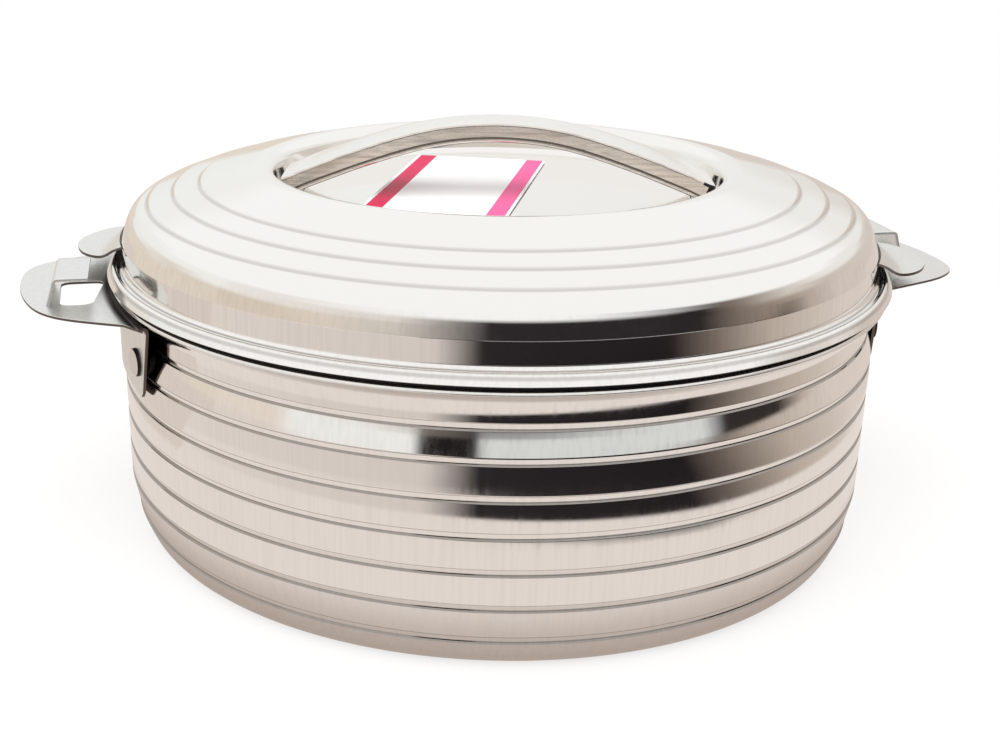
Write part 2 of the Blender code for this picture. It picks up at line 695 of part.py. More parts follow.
def lid_cover(parent):
    """Drawn cover: recess, stepped crown, upright wall and the bead round its edge."""
    edge = [
        (LID_WALL_RADIUS, LID_BEAD_TOP + FLANGE_WALL),
        (LID_WALL_RADIUS + FLANGE_WALL, LID_BEAD_TOP),
    ]
    for inward, upward in BEAD_LINE_SHARES:
        height = LID_BOTTOM + upward * (LID_BEAD_TOP - LID_BOTTOM)
        edge.append((LID_RADIUS - inward * LID_BEAD_WIDTH, height))
    edge += [
        (PAN_FLANGE_RADIUS + 2 * GAP, LID_BOTTOM),
        (LID_WALL_RADIUS - COVER_WALL, LID_BOTTOM + FLANGE_WALL),
    ]
    under = shifted(crown_line(), COVER_WALL)
    made = turned("lid_cover", crown_line() + edge + under[::-1], STEEL, parent)
    bore = SCREW_RADIUS + GAP
    steps = ((bore, RECESS_FLOOR - COVER_WALL - OVERRUN), (bore, RECESS_FLOOR + OVERRUN))
    for label, place in foot_places():
        hole = spindle("cover_hole_" + label, steps, SCREW_SIDES, place, None, parent)
        combine(made, hole, "DIFFERENCE")
    return made


def lid_pan(parent):
    """Inner pan of the lid: a flat flange inside the cover's edge and a plug that enters the bowl."""
    floor = SEAM_HEIGHT - PAN_DEPTH
    flange_top = LID_BOTTOM + PAN_WALL
    blend = PAN_CORNER * PAN_CORNER_SHARE
    line = [
        (0.0, floor + PAN_WALL),
        (PAN_RADIUS - PAN_CORNER, floor + PAN_WALL),
        (PAN_RADIUS - PAN_WALL, floor + PAN_CORNER),
        (PAN_RADIUS - PAN_WALL, flange_top),
        (PAN_FLANGE_RADIUS, flange_top),
        (PAN_FLANGE_RADIUS, LID_BOTTOM),
        (PAN_RADIUS, LID_BOTTOM),
        (PAN_RADIUS, floor + PAN_CORNER),
        (PAN_RADIUS - blend, floor + blend),
        (PAN_RADIUS - PAN_CORNER, floor),
        (0.0, floor),
    ]
    return turned("lid_pan", line, BOWL_STEEL, parent)


def lid_insulation(parent):
    """Foam in the lid, with pockets for the arch handle's screw heads."""
    floor = SEAM_HEIGHT - PAN_DEPTH + PAN_WALL + GAP
    flange_top = LID_BOTTOM + PAN_WALL + GAP
    side = LID_WALL_RADIUS - COVER_WALL - GAP - FLANGE_WALL
    inner = PAN_RADIUS - PAN_WALL - GAP
    line = shifted(crown_line(), COVER_WALL + GAP)[:-1]
    line += [
        (side, LID_WALL_TOP),
        (side - FLANGE_WALL, flange_top),
        (inner, flange_top),
        (inner, floor + PAN_CORNER),
        (inner - PAN_CORNER, floor),
        (0.0, floor),
    ]
    made = turned("lid_insulation", line, FOAM, parent)
    low = RECESS_FLOOR - COVER_WALL - GAP - WASHER_THICKNESS - GAP - SCREW_HEAD_HEIGHT - GAP
    radius = WASHER_RADIUS + SLACK
    steps = ((radius, low), (radius, RECESS_FLOOR + OVERRUN))
    for label, place in foot_places():
        hole = spindle("screw_pocket_" + label, steps, SCREW_SIDES, place, None, parent)
        combine(made, hole, "DIFFERENCE")
    return made


def arch_path():
    """Middle line of the arch handle in the XZ plane, left foot to right foot, with its slopes: a
    wide arc, a tight bend and a straight leg on each side, each tangent to the next."""
    top = RECESS_FLOOR + ARCH_RISE - ARCH_THICKNESS / 2
    reach = ARCH_FOOT_REACH - ARCH_BEND_RADIUS
    drop = top - RECESS_FLOOR - ARCH_LEG - ARCH_BEND_RADIUS
    sweep = 2 * math.atan(drop / reach)
    radius = reach / math.sin(sweep) + ARCH_BEND_RADIUS
    half = []
    for step in range(ARCH_STATIONS + 1):
        angle = sweep * step / ARCH_STATIONS
        half.append((radius * math.sin(angle), top - radius * (1 - math.cos(angle)), angle))
    for step in range(1, ARCH_BEND_STATIONS + 1):
        angle = sweep + (math.pi / 2 - sweep) * step / ARCH_BEND_STATIONS
        across, up = polar(ARCH_BEND_RADIUS, math.pi / 2 - angle)
        half.append((reach + across, RECESS_FLOOR + ARCH_LEG + up, angle))
    half.append((ARCH_FOOT_REACH, RECESS_FLOOR + GAP, math.pi / 2))
    left = [(-x, z, -angle) for x, z, angle in half[:0:-1]]
    return left + half


def arch_width(x):
    """Width of the strap: narrow over its middle, and flared towards its feet."""
    start_share, end_share = ARCH_FLARE_SHARES
    along = (abs(x) / ARCH_FOOT_REACH - start_share) / (end_share - start_share)
    along = min(max(along, 0.0), 1.0)
    return ARCH_WIDTH + (ARCH_FOOT_WIDTH - ARCH_WIDTH) * along * along * (3 - 2 * along)


def arch_section(width, shrink):
    """Corners of the strap's cross-section: across Y and through its thickness."""
    half_width = width / 2 - shrink
    half_height = ARCH_THICKNESS / 2 - shrink
    corner = ARCH_CORNER - shrink / 2
    return (
        (half_width - corner, half_height),
        (half_width, half_height - corner),
        (half_width, corner - half_height),
        (half_width - corner, -half_height),
        (corner - half_width, -half_height),
        (-half_width, corner - half_height),
        (-half_width, half_height - corner),
        (corner - half_width, half_height),
    )


def arch_handle(parent):
    """Hollow strap, bent over the recess, open at its two feet."""
    bm = bmesh.new()
    loops = []
    for shrink in (0.0, ARCH_WALL):
        rings = []
        for x, z, angle in arch_path():
            normal = Vector((math.sin(angle), 0.0, math.cos(angle)))
            ring = []
            for across, through in arch_section(arch_width(x), shrink):
                spot = Vector((x, across, z)) + normal * through
                ring.append(bm.verts.new(spot))
            rings.append(ring)
        loops.append(rings)
    count = len(loops[0][0])
    for rings in loops:
        for one, two in zip(rings, rings[1:]):
            for side in range(count):
                after = (side + 1) % count
                bm.faces.new((one[side], one[after], two[after], two[side]))
    for end in (0, -1):
        for side in range(count):
            after = (side + 1) % count
            outer = loops[0][end]
            inner = loops[1][end]
            bm.faces.new((outer[side], outer[after], inner[after], inner[side]))
    return add_object(bm, "arch_handle", STEEL, parent)


def arch_fixings(parent):
    """A threaded block in each foot of the arch, and the screw and washer that hold it from below."""
    block_low = RECESS_FLOOR + GAP
    block_top = RECESS_FLOOR + ARCH_LEG
    half_x = ARCH_THICKNESS / 2 - ARCH_WALL - GAP
    half_y = ARCH_FOOT_WIDTH / 2 - ARCH_WALL - ARCH_CORNER / 2 - GAP
    outline = ((-half_x, -half_y), (half_x, -half_y), (half_x, half_y), (-half_x, half_y))
    bore = SCREW_RADIUS + GAP
    bore_steps = ((bore, block_low - OVERRUN), (bore, block_top + OVERRUN))
    washer_top = RECESS_FLOOR - COVER_WALL - GAP
    washer_low = washer_top - WASHER_THICKNESS
    head_top = washer_low - GAP
    screw_steps = []
    for radius_share, depth_share in SCREW_HEAD_SHARES:
        depth = SCREW_HEAD_HEIGHT * depth_share
        screw_steps.append((SCREW_HEAD_RADIUS * radius_share, head_top - depth))
    screw_steps += [(SCREW_RADIUS, head_top), (SCREW_RADIUS, block_top)]
    for label, place in foot_places():
        block = extruded("foot_block_" + label, outline, block_low, block_top, FASTENER_STEEL, parent)
        block.matrix_local = place
        hole = spindle("block_hole_" + label, bore_steps, SCREW_SIDES, place, None, parent)
        combine(block, hole, "DIFFERENCE")
        washer(
            "foot_washer_" + label,
            WASHER_RADIUS,
            bore,
            washer_low,
            washer_top,
            SCREW_SIDES,
            place,
            parent,
        )
        spindle("foot_screw_" + label, screw_steps, SCREW_SIDES, place, FASTENER_STEEL, parent)


def ear(name, turn, parent):
    """A wing of sheet steel welded to the lid's wall: broad at its root, it drops over the bead to
    a flat tab that slides under the handle's tongue."""
    root = LID_WALL_RADIUS + EAR_ROOT_GAP
    reach = EAR_TIP_RADIUS - root
    drop = EAR_ROOT_TOP - EAR_TAB_TOP
    bm = bmesh.new()
    rows = []
    shares = zip(EAR_REACH_SHARES, EAR_WIDTH_SHARES, EAR_HEIGHT_SHARES)
    for reach_share, width_share, height_share in shares:
        radius = root + reach_share * reach
        half_angle = width_share * EAR_ROOT_HALF_WIDTH / radius
        top = EAR_TAB_TOP + height_share * drop
        upper = []
        lower = []
        for column in range(EAR_COLUMNS + 1):
            angle = half_angle * (2 * column / EAR_COLUMNS - 1)
            x, y = polar(radius, angle)
            upper.append(bm.verts.new((x, y, top)))
            lower.append(bm.verts.new((x, y, top - EAR_SHEET)))
        rows.append(upper + lower[::-1])
    count = len(rows[0])
    for one, two in zip(rows, rows[1:]):
        for side in range(count):
            after = (side + 1) % count
            bm.faces.new((one[side], one[after], two[after], two[side]))
    for end in (rows[0], rows[-1]):
        for side in range(EAR_COLUMNS):
            bm.faces.new((end[side], end[side + 1], end[-2 - side], end[-1 - side]))
    bmesh.ops.rotate(bm, verts=bm.verts, cent=(0.0, 0.0, 0.0), matrix=Matrix.Rotation(turn, 3, "Z"))
    return add_object(bm, name, STEEL, parent)


def recess_card(parent):
    """Plain striped card, laid on the recess floor under the arch."""
    half_length = CARD_LENGTH / 2
    half_width = CARD_WIDTH / 2
    corners = (
        (-half_length, -half_width),
        (half_length, -half_width),
        (half_length, half_width),
        (-half_length, half_width),
    )
    outline = []
    for along, across in corners:
        x, y = polar(along + CARD_FORWARD, CARD_TURN)
        side_x, side_y = polar(across + CARD_LEFT, CARD_TURN + math.pi / 2)
        outline.append((x + side_x, y + side_y))
    low = RECESS_FLOOR + GAP
    return extruded("recess_card", outline, low, low + CARD_THICKNESS, CARD_PAPER, parent)


def build():
    clear_scene()
    outer_shell()
    inner_bowl()
    body_insulation()
    fill_plug()
    side_handle("handle_right", 0.0)
    side_handle("handle_left", math.pi)
    rivets()
    lift = frame_empty("lid_lift_frame")
    rim_seal(lift)
    twist = frame_empty("lid_twist_frame", LID_REST_TURN)
    lid_cover(twist)
    lid_pan(twist)
    lid_insulation(twist)
    arch_handle(twist)
    arch_fixings(twist)
    ear("ear_right", 0.0, twist)
    ear("ear_left", math.pi, twist)
    recess_card(twist)


build()
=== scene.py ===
"""Looks of the insulated chapati casserole: buffed stainless steel on a pale floor.

Metres, +Z up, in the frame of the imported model. Heights of the lid and of the pan's rim are
counted from the seam, the black line between the two.
"""

import json
import math

import bmesh
import bpy
from mathutils import Matrix, Vector


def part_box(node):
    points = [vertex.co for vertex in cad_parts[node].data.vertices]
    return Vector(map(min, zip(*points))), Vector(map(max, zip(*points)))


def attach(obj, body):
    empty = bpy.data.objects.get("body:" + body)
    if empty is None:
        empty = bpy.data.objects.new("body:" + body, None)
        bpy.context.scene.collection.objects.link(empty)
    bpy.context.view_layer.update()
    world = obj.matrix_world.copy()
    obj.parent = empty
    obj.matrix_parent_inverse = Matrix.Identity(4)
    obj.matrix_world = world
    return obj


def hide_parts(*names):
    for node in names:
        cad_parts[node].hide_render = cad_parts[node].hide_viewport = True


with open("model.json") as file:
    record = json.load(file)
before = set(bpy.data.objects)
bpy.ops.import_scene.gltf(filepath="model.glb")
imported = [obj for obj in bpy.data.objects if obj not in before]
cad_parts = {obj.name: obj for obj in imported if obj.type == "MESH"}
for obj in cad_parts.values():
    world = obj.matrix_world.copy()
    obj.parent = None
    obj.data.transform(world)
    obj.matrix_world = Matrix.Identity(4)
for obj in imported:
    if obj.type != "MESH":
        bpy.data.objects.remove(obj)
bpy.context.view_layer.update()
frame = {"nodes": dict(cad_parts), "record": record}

MM = 0.001

# Sizes taken from the frame
SEAL_LOW, SEAL_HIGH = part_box("rim_seal")
SEAM = (SEAL_LOW[2] + SEAL_HIGH[2]) / 2
RIM_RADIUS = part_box("inner_bowl")[1][0]
RIM_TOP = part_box("inner_bowl")[1][2]
ARCH_GAP = 0.3 * MM
RECESS_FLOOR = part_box("arch_handle")[0][2] - ARCH_GAP
HANDLE_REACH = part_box("handle_right")[1][0]
SKIRT_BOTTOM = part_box("handle_right")[0][2]

# How the meshes are made
SIDES = 288
CORNER_STEPS = 5
SUPPORT_SPAN = 1 * MM
SUPPORT_REACH = 0.12 * MM
MERGE_DISTANCE = 0.001 * MM
SHARP_ANGLE = math.radians(40)
WALL = 0.8 * MM

# Pan. Tables hold radius or reach, height and rounding, and those of lines hold place, half width
# and strength
RIM_CURL = 2.1 * MM
NECK_INSET = 5.3 * MM
BODY_INSET = 3.2 * MM
FOOT_INSET = 5.2 * MM
NECK_HEIGHT = 14 * MM
NECK_GROOVE_OUT = 0.2 * MM
FIRST_BAND_HEIGHT = 10.1 * MM
FOOT_HEIGHT = 9.9 * MM
BAND_COUNT = 5
FIRST_BAND = SEAM - NECK_HEIGHT - FIRST_BAND_HEIGHT
BAND_PITCH = (FIRST_BAND - FOOT_HEIGHT) / BAND_COUNT
UNDER_CURL = (
    (-1.4 * MM, RIM_CURL - WALL - 0.3 * MM, 0), (-1.4 * MM, 0.4 * MM, 0.3 * MM),
    (-2.4 * MM, -0.2 * MM, 0.6 * MM),
)
NECK_SWEEP = ((1.15 * MM, 8.6 * MM, 1.5 * MM), (0.48 * MM, 5.1 * MM, 1.7 * MM))
BEVEL_HEIGHT = 2.1 * MM
BEVEL_DEPTH = 0.62 * MM
BEVEL_ROUNDING = 0.35 * MM
LEDGE_HEIGHT = 0.26 * MM
LEDGE_DEPTH = 0.62 * MM
CREASE_ROUNDING = 0.12 * MM
BAND_BULGE = 0.12 * MM
BAND_ROUNDING = 3 * MM
CREASE_SHADE_LINES = ((2.15 * MM, 0.12 * MM, 0.55), (-0.12 * MM, 0.2 * MM, 0.7))
BASE_EDGE = (130.5 * MM, 2.2 * MM)
STAND_RADIUS = 126.5 * MM
STAND_WIDTH = 12.5 * MM
BASE_RISE = 1.6 * MM
PLUG_HOLE_RADIUS = 9 * MM
INNER_INSET = 1.7 * MM
BOWL_RADIUS = 119.2 * MM
BOWL_FLOOR_RADIUS = 116.5 * MM
BOWL_FLOOR = 14 * MM
BOWL_CORNER = 16 * MM
BOWL_CORNER_STEPS = 28
BOWL_LIP = 2.6 * MM

# Rim seal
SEAL_INSET = 1.2 * MM
SEAL_WIDTH = 12.6 * MM
SEAL_SWELL = 0.2 * MM
SEAL_RISE = 0.85 * MM

# Lid, which lies turned against the side handles
LID_TURN = math.radians(-13.5)
LID_RADIUS = 140 * MM
LID_LIFT = 1.3 * MM
BEAD_HEIGHT = 4.6 * MM
FOOT_RADIUS = 134.3 * MM
RECESS_RADIUS = 81.5 * MM
RECESS_SLOPE = 4 * MM
CROWN_HEIGHT = 37 * MM
STEP_RADII = (106.2 * MM, 115.6 * MM, 124.6 * MM)
STEP_HEIGHTS = (31.8 * MM, 29.0 * MM, 25.5 * MM)
STEP_DROP = 1.2 * MM
STEP_RUN = 1.0 * MM
STEP_ROUNDING = 0.6 * MM
SHOULDER = (
    (128.3 * MM, 24.0 * MM, 1.2 * MM), (131.1 * MM, 21.3 * MM, 1.5 * MM),
    (132.75 * MM, 17.7 * MM, 1.2 * MM), (134.15 * MM, 13.0 * MM, 0.1 * MM),
)
STEP_SHADE_LINES = (
    (106.7 * MM, 0.55 * MM, 0.3), (116.1 * MM, 0.55 * MM, 0.3), (125.1 * MM, 0.55 * MM, 0.3),
    (135.5 * MM, 0.3 * MM, 0.6), (137.1 * MM, 0.25 * MM, 0.6), (138.6 * MM, 0.35 * MM, 0.35),
)
COVER_WALL = 0.9 * MM
PAN_RADIUS = 117.4 * MM
PAN_DEPTH = 9.5 * MM
PAN_FLANGE_RADIUS = 131.8 * MM
PAN_CORNER = 5 * MM

# Arch handle
ARCH_END_REACH = 76.5 * MM
ARCH_SHADED_END = 71.5 * MM
ARCH_HEIGHTS = tuple(
    height * MM for height in (52.0, 51.75, 51.1, 49.95, 48.3, 46.2, 43.8, 41.2, 38.3, 35.3, 32.2)
)
ARCH_WIDTH = 21 * MM
ARCH_FOOT_WIDTH = 29.5 * MM
ARCH_FLARE_SHARES = (0.1, 0.8)
ARCH_THICKNESS = 7 * MM
ARCH_WALL = 0.8 * MM
ARCH_HOLLOW = 9 * MM
ARCH_STATIONS = 40
ARCH_TOP_BAND = 0.4 * MM
ARCH_LIP_SHADE_LINE = (1.35 * MM, 1.95 * MM)

# Side handles
HANDLE_TOP = SEAM - 3.35 * MM
SHEET = 1.0 * MM
HANDLE_ROOT = 136.6 * MM
HANDLE_HALF_WIDTH = 54.25 * MM
HANDLE_SIDE_SHARES = (
    (-0.076, -0.863), (0.276, -0.774), (0.541, -0.700), (0.732, -0.623), (0.871, -0.535),
    (0.953, -0.433), (0.991, -0.313), (1.0, -0.166), (0.988, 0.009), (0.944, 0.184),
    (0.879, 0.341), (0.80, 0.472), (0.703, 0.575), (0.571, 0.664), (0.394, 0.741),
    (0.159, 0.817), (-0.076, 0.885),
)
SKIRT_RADIUS = 136.65 * MM
SKIRT_FLARES = {"left": 1.55 * MM, "right": 0.3 * MM}
SKIRT_HALF_ANGLE = math.radians(23.6)
SKIRT_CORNER = 2.0 * MM
SKIRT_EXTRA = 1.0 * MM
SKIRT_BEND = 2.2 * MM
SKIRT_LAP = 0.4 * MM
SKIRT_SLANT = math.radians(2.8)
SKIRT_SPANS = 64
WINDOW_CORNERS = (
    (156.4 * MM, -4.8 * MM), (155.4 * MM, 23.8 * MM), (144.6 * MM, 23.8 * MM),
    (141.2 * MM, -4.8 * MM),
)
WINDOW_FAR = 157.3 * MM
WINDOW_SIDE = -5.5 * MM
WINDOW_WIDTH = 29.5 * MM
WINDOW_CORNER = 4.2 * MM
EDGE_ROUNDING = 0.2 * MM
ROOT_SHADE = (140.6 * MM, 142.4 * MM)
ROOT_SHADE_DEPTHS = (2 * MM, 1 * MM)
SHEARED_SLOPE = 0.4
TONGUE_LOW = SEAM + 4.6 * MM
TONGUE_NEAR = 145.5 * MM
TONGUE_SIDE_GAP = 0.8 * MM
TONGUE_SLOPE = 2.6 * MM
RIVET_ANGLE = math.radians(18.2)
RIVET_DROP = 14.8 * MM
RIVET_HEAD_RADIUS = 4.8 * MM
RIVET_HEAD_HEIGHT = 1.5 * MM
RIVET_ROUNDING = 0.7 * MM
RIVET_SIDE_SLOPE = 0.55
RIVET_FACETS = 48

# Ears of the lid
EAR_TIP = 154.5 * MM
EAR_ROOT_HALF_WIDTH = 41 * MM
EAR_ROOT_HEIGHT = 11.8 * MM
EAR_TAB_HEIGHT = 4.1 * MM
EAR_ROOT_GAP = 0.3 * MM
EAR_ROOT_BOW = 1.1 * MM
EAR_REACH_SHARES = (0.0, 0.08, 0.18, 0.30, 0.42, 0.56, 0.70, 0.82, 0.92, 1.0)
EAR_WIDTH_SHARES = (0.95, 0.87, 0.76, 0.65, 0.57, 0.53, 0.47, 0.38, 0.25, 0.10)
EAR_HEIGHT_SHARES = (1.0, 0.82, 0.56, 0.24, 0.04, 0.0, 0.0, 0.0, 0.0, 0.0)
EAR_ROWS = 40
EAR_COLUMNS = 40

# Card in the recess
CARD_LENGTH = 101 * MM
CARD_WIDTH = 52 * MM
CARD_TURN = math.radians(81)
CARD_FORWARD = 10.5 * MM
CARD_LEFT = 16 * MM
CARD_GAP = 0.3 * MM
CARD_THICKNESS = 0.4 * MM
CARD_CORNER = 2 * MM
STRIPE_WIDTH = 6.5 * MM
STRIPE_MARGIN = 0.02

# Camera, worked out from the ellipses of the bead, the rim and the grooves
CAMERA_REACH = 505.65 * MM
CAMERA_AZIMUTH = math.radians(256.5)
CAMERA_HEIGHT = 230.5 * MM
AIM_AZIMUTH = math.radians(80.0)
AIM_DROP = math.radians(19.95)
CAMERA_ROLL = math.radians(0.34)
CAMERA_LENS = 50.83
CAMERA_SENSOR = 36
CAMERA_SHIFT = 0.0902

# Lamps: name, place, what it points at, width in metres and power in watts
LAMPS = (
    ("overhead_soft", (-0.2, -0.6, 1.4), (0.0, 0.0, 0.1), 2.0, 20),
    ("left_soft", (-1.3, -0.8, 0.8), (0.0, 0.0, 0.08), 0.9, 3),
)

# Corners of a square, in order round it
SQUARE = ((-1, -1), (1, -1), (1, 1), (-1, 1))

# Floor and surroundings; azimuths are in degrees from +X towards +Y
ROOM_LIGHT = 0.85
FLOOR_WHITE = 0.7
FLOOR_FADE = (0.2, 0.6)
FLOOR_REACH = 6.0
ROOM_REACH = 640 * MM
ROOM_SIDES = 96
ROOM_LOW = (
    (0, "#D6CBC4"), (40, "#D6CBC4"), (95, "#E4D9CC"), (200, "#E8DDD2"), (206, "#F4F4F2"),
    (238, "#F4F4F2"), (240, "#1E1A1C"), (253, "#1E1A1C"), (255, "#DCDEDD"), (311, "#DCDEDD"),
    (318, "#332E2D"), (336, "#332E2D"), (346, "#B9ACA2"),
)
ROOM_MIDDLE = (
    (0, "#D2C7BD"), (40, "#DAD2CA"), (60, "#F2F3F1"), (130, "#F2F3F1"), (160, "#E2D7C9"),
    (214, "#DDD0C0"), (240, "#A39A90"), (256, "#2E292B"), (310, "#2A2527"), (322, "#80746B"),
    (338, "#A39588"), (350, "#C4B8AD"),
)
ROOM_HIGH = (
    (0, "#EFECE9"), (90, "#F6F7F5"), (180, "#F3EFEC"), (232, "#E4DED8"), (256, "#2E292B"),
    (312, "#2A2527"), (325, "#8C7F74"), (342, "#DAD3CC"),
)
ROOM_TOP = ((0, "#FFFFFF"), (180, "#FFFFFF"))
TABLE_FRONT = (
    (0, "#DDD2CA"), (180, "#E4DAD3"), (243, "#D8CFC9"), (254, "#2A2527"), (300, "#221D1F"),
    (310, "#6E635C"), (330, "#BDB0A4"),
)
# Each layer's colours come in between two heights
ROOM_LAYERS = (
    (40 * MM, 60 * MM, ROOM_LOW), (140 * MM, 165 * MM, ROOM_MIDDLE),
    (200 * MM, 260 * MM, ROOM_HIGH), (330 * MM, 410 * MM, ROOM_TOP),
)
ROOM_HEIGHT = 410 * MM
TABLE_EDGE = ((246, 246 * MM), (302, 224 * MM))
TABLE_EDGE_BLUR = (-3 * MM, 6 * MM)
TABLE_CONTACT_SHADE = (132 * MM, 160 * MM)
TABLE_LIFT = 0.3 * MM

# Patterns. The lines of the buff, counted per millimetre along X, Y and Z, are finer on real sheet,
# about 0.05 mm apart; here they lie about 1.4 mm apart, so that they show
AROUND = (0.7 / MM, 0.7 / MM, 0.03 / MM)
ALONG_STRAP = (0.025 / MM, 0.9 / MM, 0.9 / MM)
CLOUD_SIZE = 26.3 * MM
WAVE_SIZE = 45.5 * MM
WAVE_DEPTH = 2 * MM
WAVE_STRENGTH = 0.02
GRAIN_DEPTH = 0.4 * MM
PAPER_GRAIN = 3.33 * MM
PAPER_ROUGHNESS = (0.42, 0.55)
ROUGH_SPAN = (0.1, 0.45)
SHADE_SPAN = (0.42, 0.75)
GRAIN_ROUGHNESS = 0.06
CLEAR_HEIGHT = 17 * MM
CLEAR_FADE = 3 * MM
DULLED = "#8F857E"


def linear(hex_colour):
    """An sRGB hex colour as linear red, green, blue and full alpha."""
    channels = []
    for start in (1, 3, 5):
        value = int(hex_colour[start:start + 2], 16) / 255
        channels.append(value / 12.92 if value <= 0.04045 else ((value + 0.055) / 1.055) ** 2.4)
    return (*channels, 1.0)


def add_node(tree, kind, settings=None, links=None):
    """Adds a node, sets its properties and socket values, and links its inputs by socket name. A
    node that is given to a link stands for its first output."""
    node = tree.nodes.new(kind)
    for key, value in (settings or {}).items():
        if isinstance(key, int) or key in node.inputs:
            node.inputs[key].default_value = value
        else:
            setattr(node, key, value)
    for key, source in (links or {}).items():
        if isinstance(source, bpy.types.Node):
            source = source.outputs[0]
        tree.links.new(source, node.inputs[key])
    return node


def new_material(name):
    """A bare material, its tree and the place of each spot on the object."""
    made = bpy.data.materials.new(name)
    made.use_nodes = True
    tree = made.node_tree
    tree.nodes.clear()
    return made, tree, add_node(tree, "ShaderNodeTexCoord").outputs["Object"]


def thin_line(tree, value, centre, half_width, strength):
    """A soft line where value lies near centre, as a share from 0 to strength."""
    away = add_node(tree, "ShaderNodeMath", {"operation": "SUBTRACT", 1: centre}, {0: value})
    away = add_node(tree, "ShaderNodeMath", {"operation": "ABSOLUTE"}, {0: away})
    return add_node(
        tree, "ShaderNodeMapRange",
        {
            "From Min": half_width * 0.5, "From Max": half_width * 1.5,
            "To Min": strength, "To Max": 0.0,
        },
        {"Value": away},
    )


def strongest(tree, shares):
    """At each spot the largest of several shares."""
    total = shares[0]
    for share in shares[1:]:
        total = add_node(tree, "ShaderNodeMath", {"operation": "MAXIMUM"}, {0: total, 1: share})
    return total


def distance_from_axis(tree, where):
    """How far a spot lies from the axis that the lid turns on."""
    flat = add_node(
        tree, "ShaderNodeVectorMath", {"operation": "MULTIPLY", 1: (1.0, 1.0, 0.0)}, {0: where}
    )
    length = add_node(tree, "ShaderNodeVectorMath", {"operation": "LENGTH"}, {0: flat})
    return length.outputs["Value"]


def crease_shade_lines(tree, where):
    """Where the rolled wall folds: painted shade, a thin darker line in the creases of each groove.
    """
    height = add_node(tree, "ShaderNodeSeparateXYZ", None, {"Vector": where}).outputs["Z"]
    raised = add_node(
        tree, "ShaderNodeMath", {"operation": "SUBTRACT", 1: FOOT_HEIGHT}, {0: height}
    )
    repeated = add_node(
        tree, "ShaderNodeMath", {"operation": "WRAP", 1: BAND_PITCH / 2, 2: -BAND_PITCH / 2},
        {0: raised},
    )
    below_neck = add_node(
        tree, "ShaderNodeMath", {"operation": "LESS_THAN", 1: FIRST_BAND + BAND_PITCH / 2},
        {0: height},
    )
    lines = []
    for offset, half_width, strength in CREASE_SHADE_LINES:
        band = thin_line(tree, repeated, offset, half_width, strength)
        lines += [
            add_node(tree, "ShaderNodeMath", {"operation": "MULTIPLY"}, {0: band, 1: below_neck}),
            thin_line(tree, height, SEAM - NECK_HEIGHT + offset, half_width, strength),
        ]
    return strongest(tree, lines)


def step_shade_lines(tree, where):
    """Where each step of the lid and each fold of its flange ends: soft rings of painted shade, a
    little darker."""
    radius = distance_from_axis(tree, where)
    return strongest(tree, [thin_line(tree, radius, *line) for line in STEP_SHADE_LINES])


def root_shade(tree, where):
    """Where the plate runs in under the lid's bead: painted shade, dark under the bead's overhang.
    """
    height = add_node(tree, "ShaderNodeSeparateXYZ", None, {"Vector": where}).outputs["Z"]
    inward = add_node(
        tree, "ShaderNodeMapRange", {"From Min": ROOT_SHADE[1], "From Max": ROOT_SHADE[0]},
        {"Value": distance_from_axis(tree, where)},
    )
    low, high = (HANDLE_TOP - depth for depth in ROOT_SHADE_DEPTHS)
    upper = add_node(
        tree, "ShaderNodeMapRange", {"From Min": low, "From Max": high}, {"Value": height}
    )
    return add_node(tree, "ShaderNodeMath", {"operation": "MULTIPLY"}, {0: inward, 1: upper})


